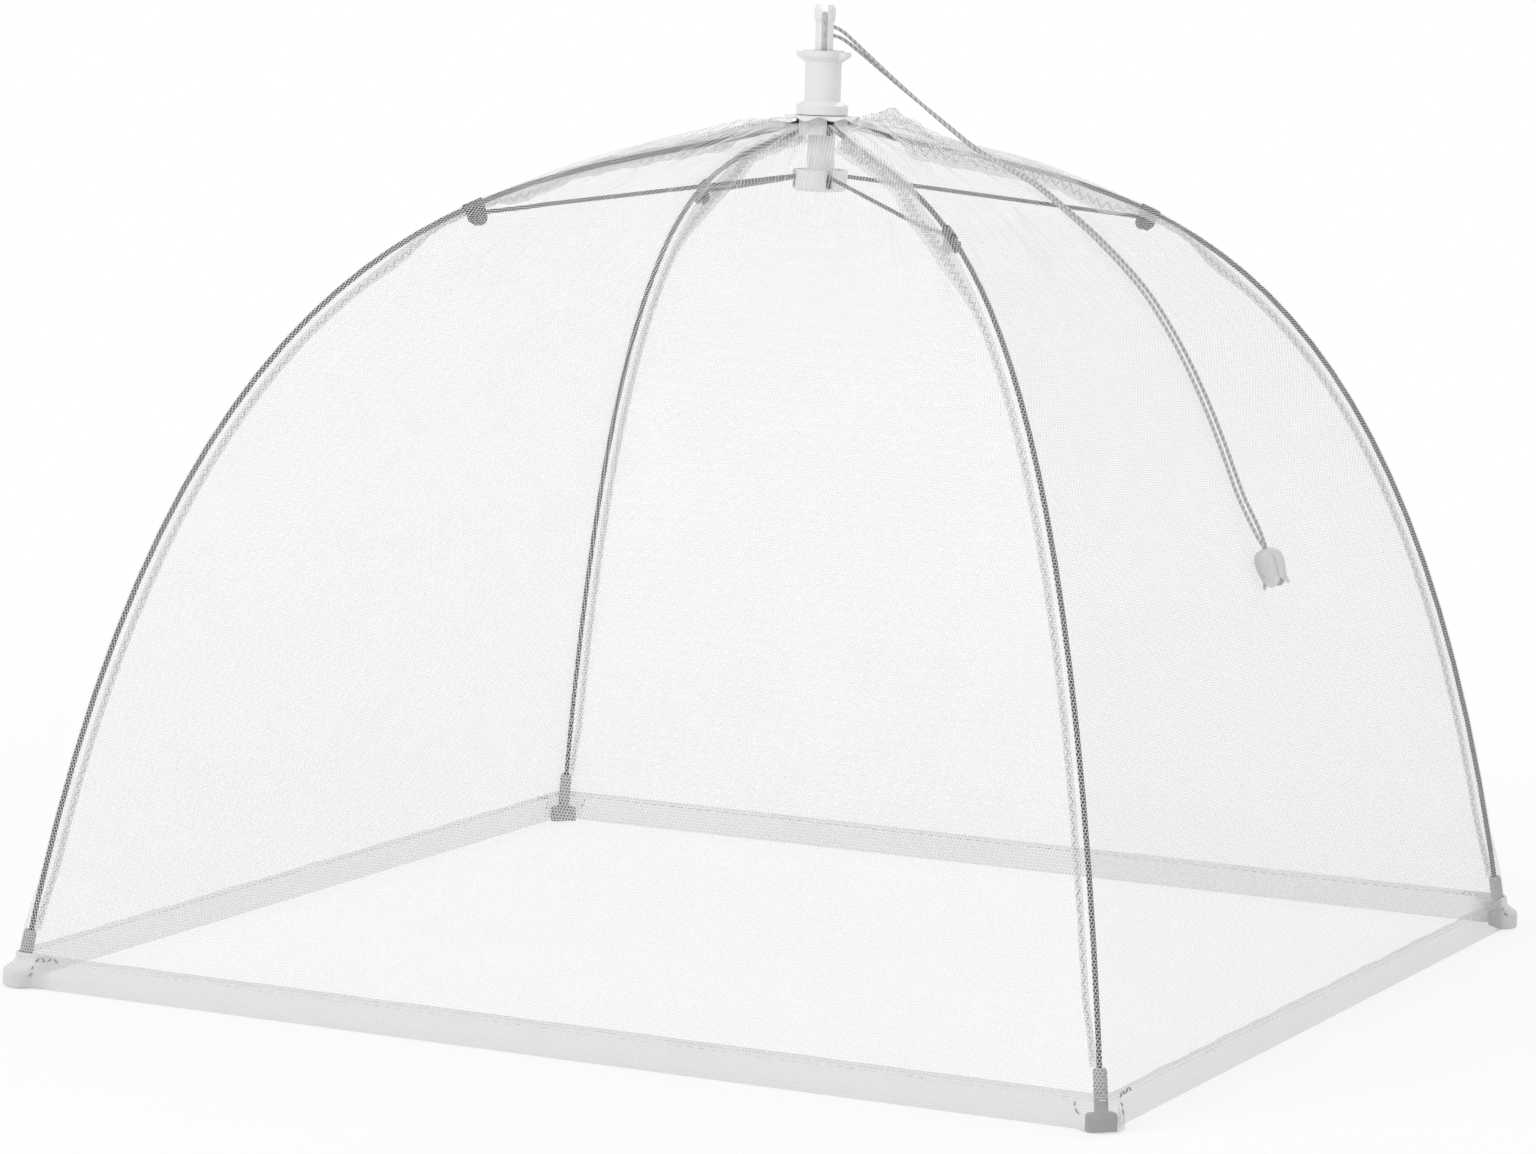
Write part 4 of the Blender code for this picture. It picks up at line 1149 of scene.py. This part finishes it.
    def build_patch(self, finish: bpy.types.Material) -> None:
        """The round patch clamped under the cap, with a rippled edge past the flange.

        Its outline runs out along the top, round the edge and back underneath, and the
        edge drops and waves as a sine of the way round.
        """
        top, thick = self.patch_radii, self.patch_thickness
        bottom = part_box("crown_notch_ring")[1].z + self.patch_gap
        across = np.array([*top, top[-1] + thick / 2, *top[::-1], top[0]])
        above = np.array([thick] * 4 + [thick / 2] + [0] * 4 + [thick])
        angle = math.tau * np.arange(96) / 96
        loose = smooth_step((across - self.patch_held) / self.patch_free)[:, None]
        wave = -self.patch_droop + 0.0006 * np.sin(angle * 9) + 0.0003 * np.sin(angle * 5 + 1)
        up = bottom + above[:, None] + loose * wave[None]
        out = across[:, None] + loose * 0.0004 * np.sin(angle * 7)[None]
        grid = np.stack([out * np.cos(angle), out * np.sin(angle), up], -1)
        uv = cloth_grid(np.linspace(0, 0.06, 97), np.linspace(0, 0.02, len(across)))
        piece = skin("crown_patch_cloth", grid, finish, uv, closed=True)
        settle(piece, "hem_cloth", "crown", "crown_patch")
        LOG.info("crown_patch_cloth")


@dataclass
class SeamBinding:
    """The bound seam under each rib, with its zigzag stitching."""

    rib: RibCurve = field(default_factory=RibCurve)
    rows: int = 150
    top_root: float = -0.0012
    root: float = 0.0022
    low_root: float = 0.0029
    top_lift: float = 0.0016
    top_width: float = 0.0096
    middle_width: float = 0.0072
    slim_width: float = 0.0033
    end_width: float = 0.0024
    lean: float = math.radians(65)
    top_leans: "tuple[float, ...]" = tuple(map(math.radians, (30, 65, 45, 65)))
    low_leans: "tuple[float, ...]" = tuple(map(math.radians, (0, 42, 0, 42)))
    end_root: float = 0.0012
    end_reach: float = 0.030
    tip_width: float = 0.15
    tip_reach: float = 0.035
    thread_radius: float = 0.00017
    thread_lift: float = 0.00012
    start_share: float = 0.065
    flat_share: float = 0.435
    upright_share: float = 0.10
    sleeve_top: float = 0.0208
    thickness: float = 0.0005
    zigzag_pitch: float = 0.0021
    high_end: float = 0.36
    high_fade: float = 0.09
    steep_end: float = 0.385
    steep_fade: float = 0.05
    low_rise: float = 0.115

    def frame_at(self, share: Array, corner: Corner) -> "tuple[Array, Array, Array, Array]":
        """The binding's lean and width, its root's depth under the wire and its lift, at shares.

        Near the crown the binding lies over the wire and narrows to its end. Below the
        clip it hangs clear of the wire, and it draws in to it at the foot's sleeve.
        """
        start, flat = self.start_share, self.flat_share
        end = self.rib.share_at_height(self.sleeve_top)
        above = np.clip((share - start) / (flat - start), 0, 1)
        below = np.clip((share - flat) / (end - flat), 0, 1)
        turn = np.clip((share - flat) / self.upright_share, 0, 1)
        high = smooth_step((self.high_end - share) / self.high_fade)
        steep = smooth_step((self.steep_end - share) / self.steep_fade)
        low = smooth_step((share - flat) / self.low_rise)
        upper = mixed(self.lean, self.top_leans[corner.value], steep)
        lean = mixed(self.low_leans[corner.value], upper, (1 + np.cos(math.pi * turn)) / 2)
        width = mixed(self.top_width, self.middle_width, above)
        width = mixed(mixed(width, self.slim_width, low), self.end_width, below)
        width = width * mixed(self.tip_width, 1.0, smooth_step((share - start) / self.tip_reach))
        root = self.root + (self.top_root - self.root) * high + (self.low_root - self.root) * low
        near_end = smooth_step((share - end + self.end_reach) / self.end_reach)
        root = mixed(root, self.end_root, near_end)
        return lean, width, root, self.top_lift * high

    def section(self, share: Array, depth: Array, off: Array, corner: Corner) -> Array:
        """Points of the binding in its rib's plane: depth under the wire and off its face.

        A point is the rib's line plus its depth along the leaning direction and its
        offset square to it. Gentle waves across the binding make it soft.

        Args:
            share: shares of the rib's curve.
            depth: distances under the wire's line.
            off: distances off the binding's middle face.
            corner: whose binding it is.

        Returns:
            Points (out, beside, up).
        """
        lean, _, root, lift = self.frame_at(share, corner)
        line, slope = self.rib.point(share), self.rib.direction(share)
        inward = np.stack([slope[..., 1], -slope[..., 0]], -1)
        gather = 0.0004 * np.sin(share * 120 + depth * 300) * smooth_step((0.42 - share) / 0.1)
        soft = gather + 0.00025 * np.sin(share * 300) * smooth_step((depth - root) / 0.003)
        face = off + soft - lift
        below = depth * np.cos(lean) + face * np.sin(lean)
        beside = face * np.cos(lean) - depth * np.sin(lean)
        out, up = (line[..., axis] + inward[..., axis] * below for axis in (0, 1))
        return np.stack([out, beside, up], -1)

    def build(self, finish: bpy.types.Material, thread: bpy.types.Material) -> None:
        """The four bindings and their stitches."""
        end = self.rib.share_at_height(self.sleeve_top)
        share = np.linspace(self.start_share, end, self.rows)
        length = lengths_along(self.rib.point(share))
        face = [(0, -0.5), (0.12, -0.5), (0.5, -0.42), (0.82, -0.5), (0.94, -0.62), (1, -0.3)]
        loop = np.concatenate([face, np.array(face[::-1]) * [1, -1]])
        uv = cloth_grid(np.linspace(0, 0.014, len(loop) + 1), length)
        for corner in Corner:
            body = "rib_" + corner.label
            _, width, root, _ = self.frame_at(share, corner)
            depth = root[:, None] + width[:, None] * loop[None, :, 0]
            off = np.broadcast_to(self.thickness * loop[None, :, 1], depth.shape)
            flat = self.section(np.broadcast_to(share[:, None], depth.shape), depth, off, corner)
            grid = turned_about_z(flat, corner.azimuth)
            piece = tube("seam_binding_" + corner.label, grid, uv, finish)
            settle(piece, "tape_cloth", body, "seam_tape_" + corner.label)
            rows = self.zigzag(share, length, corner)
            rows = (turned_about_z(item, corner.azimuth) for item in rows)
            stitches("seam_stitches_" + corner.label, body, thread, *rows, self.thread_radius,
                     self.thread_lift)
            LOG.info("seam_binding_%s", corner.label)

    def zigzag(self, share: Array, length: Array, corner: Corner) -> "tuple[Array, Array, Array]":
        """The ends and facing of the zigzag's stitches, on both faces of the binding."""
        way = np.arange(0.004, length[-1] - 0.002, self.zigzag_pitch)
        at = np.interp(way, length, share)
        _, width, root, _ = self.frame_at(at, corner)
        swing = np.where(np.arange(len(at)) % 2 == 0, 0.30, 0.80)
        depth = root + width * swing
        starts, ends, faces = [], [], []
        for face in (-1, 1):
            stand = np.full(len(at), face * self.thickness * 0.62)
            line = self.section(at, depth, stand, corner)
            over = self.section(at, depth, stand * 3, corner)
            starts.append(line[:-1])
            ends.append(line[1:])
            faces.append(unit(over - line)[:-1])
        return np.concatenate(starts), np.concatenate(ends), np.concatenate(faces)


@dataclass
class PullCord:
    """The doubled pull cord, its tulip bead and the knot in the bead."""

    radius: float = 0.00065
    core_radius: float = 0.0006
    end_round: float = 0.0006
    knot_strand: float = 0.00055
    spacing: float = 0.0015
    splay: float = 0.0042
    spread: float = 0.0026
    meeting: float = 0.30
    slit_turn: float = math.radians(25)
    steps: int = 200
    sides: int = 12
    bead_top: "tuple[float, float, float]" = (0.1812, 0.0040, 0.1700)
    bead_lean: float = math.radians(21)
    bead_length: float = 0.0150
    hollow: float = 0.00825
    petal_turn: float = math.radians(5)
    bead_scale: float = 0.94
    core_top: float = 0.3572
    core_bottom: float = 0.2944
    core_apart: float = 0.00130
    core_behind: float = 0.00045
    knot_radius: float = 0.0021
    route: "tuple[tuple[float, float, float], ...]" = (
        (-0.000423, 0.000906, 0.3512), (-0.001690, 0.003625, 0.3512), (-0.0012, 0.0068, 0.3509),
        (0.0034, 0.0094, 0.3488), (0.0100, 0.0120, 0.3432), (0.0190, 0.0152, 0.3352),
        (0.0290, 0.0192, 0.3264), (0.0390, 0.0235, 0.3178), (0.0480, 0.0272, 0.3103),
        (0.0550, 0.0296, 0.3056), (0.0640, 0.0285, 0.3017), (0.0770, 0.0240, 0.2966),
        (0.0900, 0.0185, 0.2896), (0.1074, 0.0151, 0.2777), (0.1250, 0.0150, 0.2613),
        (0.1390, 0.0130, 0.2440), (0.1509, 0.0112, 0.2252), (0.1603, 0.0095, 0.2075),
        (0.1689, 0.0080, 0.1892), (0.1755, 0.0058, 0.1790), (0.1791, 0.0047, 0.1733),
    )

    def fall(self) -> Array:
        """The bead's axis, from its top down."""
        return np.array([math.sin(self.bead_lean), 0.0, -math.cos(self.bead_lean)])

    def strand(self, sign: int) -> Array:
        """The points of one strand, the upper one where sign is 1 and the lower one at -1.

        The strands leave one above the other, meet, lie apart on the netting along its
        own slope, and meet again at the bead.
        """
        mouth = np.array(self.bead_top)
        inside = mouth + self.fall() * (self.bead_length - self.hollow)
        route = np.vstack([self.route, mouth, inside])
        index = np.arange(len(route))
        ahead = route[np.minimum(index + 1, len(route) - 1)] - route[np.maximum(index - 1, 0)]
        off_netting = np.stack([-ahead[:, 2], np.zeros(len(route)), ahead[:, 0]], -1)
        sideways = unit(np.cross(ahead, off_netting))
        meeting = len(route) * self.meeting
        closing = np.maximum(0.0, 1 - index / meeting)[:, None]
        part = np.clip((index - meeting) / (len(route) - 2 - meeting), 0, 1)[:, None]
        apart = self.splay * smooth_step(part / 0.62) * smooth_step((1 - part) / 0.12)
        apart = self.spacing + apart
        line = route + sideways * (sign * apart / 2) * (1 - closing)
        line = line + np.array([0, 0, 1.0]) * sign * self.spread * closing
        return evenly(curve_through(line, 1200), self.steps + 1)

    def rope(self, name: str, line: Array, side: Array, radius: "float | Array",
             cord: bpy.types.Material) -> "tuple[bpy.types.Object, float]":
        """A cord as a tube along a line.

        Args:
            name: the piece's name.
            line: the points of its middle.
            side: where each ring round it starts, square to the line.
            radius: one radius, or one for each point.
            cord: its material.

        Returns:
            The piece and its length.
        """
        length = lengths_along(line)
        grid = rings_round(line, unit(np.gradient(line, axis=0)), side, self.sides, radius)
        uv = cloth_grid(np.linspace(0, 1, self.sides + 1) * CLOTH_SPAN, length)
        LOG.info("%s: %.3f m", name, length[-1])
        return tube(name, grid, uv, cord), float(length[-1])

    def build(self, cord: bpy.types.Material, plastic: bpy.types.Material) -> None:
        """The strands, the bead and the knot."""
        bead = self.build_bead(plastic)
        knot = self.build_knot(cord)
        for name, sign in (("upper", 1), ("lower", -1)):
            line = self.strand(sign)
            side = unit(np.cross(unit(np.gradient(line, axis=0)), [0.3, -1.0, 0.2]))
            way = lengths_along(line)
            taper = np.minimum(way, way[-1] - way) / self.end_round
            taper = np.sqrt(np.clip(taper, 0.05, 1))
            piece, length = self.rope("cord_strand_" + name, line, side, self.radius * taper, cord)
            settle(piece, "cord_fibre", "crown", "pull_cord_" + name)
        # The cord in the bore is the same cord, given a far paler copy of its colours: painted
        # light against the shade inside the bore.
        self.build_core(TwistedCord("painted_light_cord", (0.98, 0.98, 0.975), (0.88, 0.88, 0.88)).make())

    def build_core(self, cord: bpy.types.Material) -> None:
        """The doubled cord in the stem's bore, up one side, over and down the other, in a paler
        copy of the cord's colours: painted light against the bore's shade.
        """
        half = self.core_apart / 2
        crest = self.core_top - half
        height = mixed(self.core_bottom, crest, np.linspace(0, 1, 60))
        rise = np.stack([np.full(60, -half), np.zeros(60), height], -1)
        turn = np.linspace(0, math.pi, 16)[1:-1]
        out, up = -half * np.cos(turn), crest + half * np.sin(turn)
        over = np.stack([out, np.zeros_like(turn), up], -1)
        line = np.concatenate([rise, over, rise[::-1] * [-1, 1, 1]]) - [0, self.core_behind, 0]
        line = turned_about_z(line, self.slit_turn)
        side = unit(turned_about_z(np.array([[0.0, 1.0, 0.0]]), self.slit_turn))
        piece, length = self.rope("cord_in_stem", line, side, self.core_radius, cord)
        settle(piece, "cord_fibre", "runner")

    def bead_place(self, points: Array) -> Array:
        """Points about the bead's axis, top at 0 and mouth below, put in their place."""
        turn = np.array(Matrix.Rotation(-self.bead_lean, 3, "Y"))
        return (points.reshape(-1, 3) @ turn.T).reshape(points.shape) + np.array(self.bead_top)

    def build_bead(self, plastic: bpy.types.Material) -> bpy.types.Object:
        """The tulip bead: a bell of four petals.

        Its outline is turned about the axis. The radius swells at the middle of each
        petal and draws in between them, and the lower edge rises between the petals as
        a power of a sine, so that each ends in a point. The inside runs back up.
        """
        outline = np.array([
            (0.0018, 0.0), (0.0023, -0.0001), (0.0036, -0.0005), (0.0047, -0.0014),
            (0.0054, -0.0028), (0.0057, -0.0046), (0.00572, -0.0064), (0.0055, -0.0084),
            (0.0051, -0.0104), (0.0048, -0.0124), (0.0049, -0.0138), (0.0055, -0.0153),
            (0.0049, -0.0153), (0.0043, -0.0136), (0.0042, -0.0118), (0.0040, -0.0096),
            (0.0030, -0.0078), (0.0018, -0.0070), (0.0018, -0.0030), (0.0018, 0.0),
        ])
        fine = np.linspace(0, len(outline) - 1, 90)
        radius, height = read_along(fine, np.arange(len(outline)), outline).T[..., None]
        angle = math.tau * np.arange(96) / 96
        petal = np.abs(np.cos((angle - self.petal_turn) * 2))
        up = height + smooth_step((-height - 0.006) / 0.009) * (0.0030 * (1 - petal) ** 0.85)
        rib = 0.00010 * np.cos(angle * 20) - 0.00055 * bell(petal, 0.0, 0.16)
        swell = (np.minimum(petal, 0.75) - 0.75) * 0.0006 + rib
        swell = swell * smooth_step((-height - 0.0005) / 0.004)
        out = np.where(radius <= 0.0019, radius, radius + swell)
        grid = np.stack([out * np.cos(angle), out * np.sin(angle), up], -1) * self.bead_scale
        piece = skin("tulip_bead", self.bead_place(grid), plastic, closed=True)
        settle(piece, "bead_plastic", "crown", "pull_bead")
        LOG.info("tulip_bead")
        return piece

    def build_knot(self, cord: bpy.types.Material) -> bpy.types.Object:
        """The knot in the bead's hollow: one strand wound as a trefoil on itself."""
        t = np.linspace(0, math.tau, 141)[:-1]
        x, y = np.sin(t) + 2 * np.sin(2 * t), np.cos(t) - 2 * np.cos(2 * t)
        line = np.stack([x, y, -np.sin(3 * t)], -1) * (self.knot_radius / 3.4)
        depth = -(self.bead_length - self.hollow) - self.knot_radius * 0.9
        line = line + np.array([0, 0, depth])
        slope = unit(np.roll(line, -1, 0) - np.roll(line, 1, 0))
        side = unit(np.cross(slope, [0, 0, 1.0]))
        grid = rings_round(line, slope, side, 10, self.knot_strand)
        grid = self.bead_place(np.concatenate([grid, grid[:1]]))
        uv = cloth_grid(np.linspace(0, 1, 11) * CLOTH_SPAN, np.linspace(0, 0.03, 141))
        piece = skin("cord_knot", grid, cord, uv, closed=True)
        settle(piece, "cord_fibre", "crown", "pull_knot")
        return piece


@dataclass
class Frame:
    """The wires, clips, feet and column that stay as the frame has them, with their finishes."""

    wire: CoatedWire = field(default_factory=CoatedWire)
    strip: PressedStrip = field(default_factory=PressedStrip)

    def dress(self) -> None:
        """Gives every node that stays its finish."""
        wire, strip = self.wire.make(), self.strip.make()
        column = MouldedPlastic("column_plastic", (0.74, 0.74, 0.735), (0.69, 0.69, 0.69), 0.30)
        foot = MouldedPlastic(
            "foot_plastic", (0.25, 0.25, 0.255), (0.37, 0.37, 0.375), 0.46, 900.0, 0.00008
        )
        finishes = {
            "rib_wire": wire, "clip_metal": strip,
            "white_plastic": column.make(), "foot_plastic": foot.make(),
        }
        slots = {item["node"]: item["material_slot"] for item in frame["record"]["subparts"]}
        count = 0
        for name, node in frame["nodes"].items():
            finish = finishes.get(slots.get(name, ""))
            if finish is None:
                continue
            node.data.materials.clear()
            node.data.materials.append(finish)
            count += 1
        LOG.info("frame: %d nodes dressed", count)


@dataclass
class Studio:
    """The pale floor, the soft lamps, the white surroundings and the camera."""

    lens: float = 127.69
    distance: float = 2.06085
    azimuth: float = math.radians(25.349)
    elevation: float = math.radians(7.3176)
    roll: float = math.radians(1.728)
    shift_right: float = -0.01496
    shift_up: float = 0.02448
    target_height: float = 0.12
    floor_size: float = 40.0
    ambient: float = 0.70
    lamp_size: float = 1.6

    def build_camera(self) -> None:
        """The camera, at the angle, distance and roll from which the cover is seen."""
        east, north = math.sin(self.azimuth), -math.cos(self.azimuth)
        level, steep = math.cos(self.elevation), math.sin(self.elevation)
        back = np.array([east * level, north * level, steep])
        right = np.array([-north, east, 0.0])
        up = np.cross(back, right)
        place = np.array([0, 0, self.target_height]) + back * self.distance
        place = place + right * self.shift_right + up * self.shift_up
        c, s = math.cos(self.roll), math.sin(self.roll)
        axes = np.column_stack([right * c + up * s, up * c - right * s, back])
        lens = bpy.data.cameras.new("camera")
        lens.lens = self.lens
        lens.sensor_width = 36.0
        lens.sensor_fit = "HORIZONTAL"
        lens.clip_start, lens.clip_end = 0.05, 200.0
        camera = bpy.data.objects.new("camera", lens)
        camera.matrix_world = Matrix.Translation(Vector(place)) @ Matrix(axes.tolist()).to_4x4()
        bpy.context.scene.collection.objects.link(camera)
        bpy.context.scene.camera = camera

    def build_floor(self) -> None:
        """A wide pale floor that turns to plain white away from the cover.

        The floor is a disc. Its shader is a pale surface mixed with plain white for
        the rays that see it straight or through a mirror, more of it further out.
        """
        graph = Graph("pale_floor")
        out = graph.plan()[2]
        pale = graph.blend(graph.noise(14.0, 2.0), (0.80, 0.80, 0.80), (0.83, 0.83, 0.83))
        graph.set_shader(Base_Color=pale, Roughness=0.9, Specular_IOR_Level=0.1)
        white = graph.add("ShaderNodeEmission", {}, {"Color": WHITE, "Strength": 1.0})
        path = graph.add("ShaderNodeLightPath", {}, {})
        seen = path.of("Is Camera Ray").most(path.of("Is Glossy Ray"))
        seen = seen.most(path.of("Is Transmission Ray"))
        graph.cover(seen * (out.ramp(0.25, 1.1) * 0.30 + 0.70), white)
        bm = bmesh.new()
        bmesh.ops.create_circle(bm, cap_ends=True, segments=96, radius=self.floor_size)
        mesh = bpy.data.meshes.new("floor")
        bm.to_mesh(mesh)
        bm.free()
        mesh.materials.append(graph.owner)
        floor = bpy.data.objects.new("floor", mesh)
        bpy.context.scene.collection.objects.link(floor)

    def build_light(self) -> None:
        """An even pale dome, plain white where it is seen, and three large soft lamps."""
        sky = Graph("surroundings", world=True)
        bpy.context.scene.world = sky.owner
        sky.set_shader(Color=WHITE, Strength=self.ambient)
        plain = sky.add("ShaderNodeBackground", {}, {"Color": WHITE, "Strength": 1.0})
        path = sky.add("ShaderNodeLightPath", {}, {})
        sky.cover(path.of("Is Camera Ray").most(path.of("Is Transmission Ray")), plain)
        for name, place, power in (
            ("key", (-1.3, -1.7, 2.0), 34.0),
            ("fill", (2.0, -1.2, 1.2), 13.0),
            ("back", (0.2, 2.0, 1.8), 15.0),
        ):
            lamp = bpy.data.lights.new(name, "AREA")
            lamp.shape = "SQUARE"
            lamp.size = self.lamp_size
            lamp.energy = power
            made = bpy.data.objects.new(name, lamp)
            made.location = place
            made.rotation_mode = "QUATERNION"
            away = Vector(place) - Vector((0, 0, 0.15))
            made.rotation_quaternion = away.to_track_quat("Z", "Y")
            bpy.context.scene.collection.objects.link(made)

    def build(self) -> None:
        """Camera, floor and light, and the plain view transform."""
        bpy.context.scene.view_settings.view_transform = "Standard"
        self.build_camera()
        self.build_floor()
        self.build_light()
        LOG.info("studio: lens %.1f mm", self.lens)


def main() -> None:
    """Builds the sub-assemblies in order."""
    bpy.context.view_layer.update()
    Studio().build()
    cord = TwistedCord().make()
    bead = MouldedPlastic(
        "bead_plastic", (0.60, 0.60, 0.60), (0.53, 0.53, 0.53), 0.40, 800.0, 0.00005
    )
    PullCord().build(cord, bead.make())
    Frame().dress()
    hem = BoundCloth("hem_cloth", (0.58, 0.585, 0.59), (0.50, 0.505, 0.51), 0.27).make()
    patch = BoundCloth("patch_cloth", (0.84, 0.845, 0.85), (0.78, 0.785, 0.79), 0.88).make()
    binding = BoundCloth("binding_cloth", (0.70, 0.705, 0.71), (0.62, 0.625, 0.63), 0.37).make()
    pale = SewingThread("pale_thread", (0.66, 0.66, 0.665), (0.76, 0.76, 0.765)).make()
    grey = SewingThread("grey_thread", (0.46, 0.46, 0.465), (0.58, 0.58, 0.585)).make()
    dark = SewingThread("dark_thread", (0.20, 0.20, 0.205), (0.34, 0.34, 0.345)).make()
    canopy = Canopy()
    canopy.build_netting(OpenNetting().make())
    canopy.build_hems(hem, pale, dark)
    canopy.build_patch(patch)
    SeamBinding().build(binding, grey)


if __name__ == "__main__":
    main()
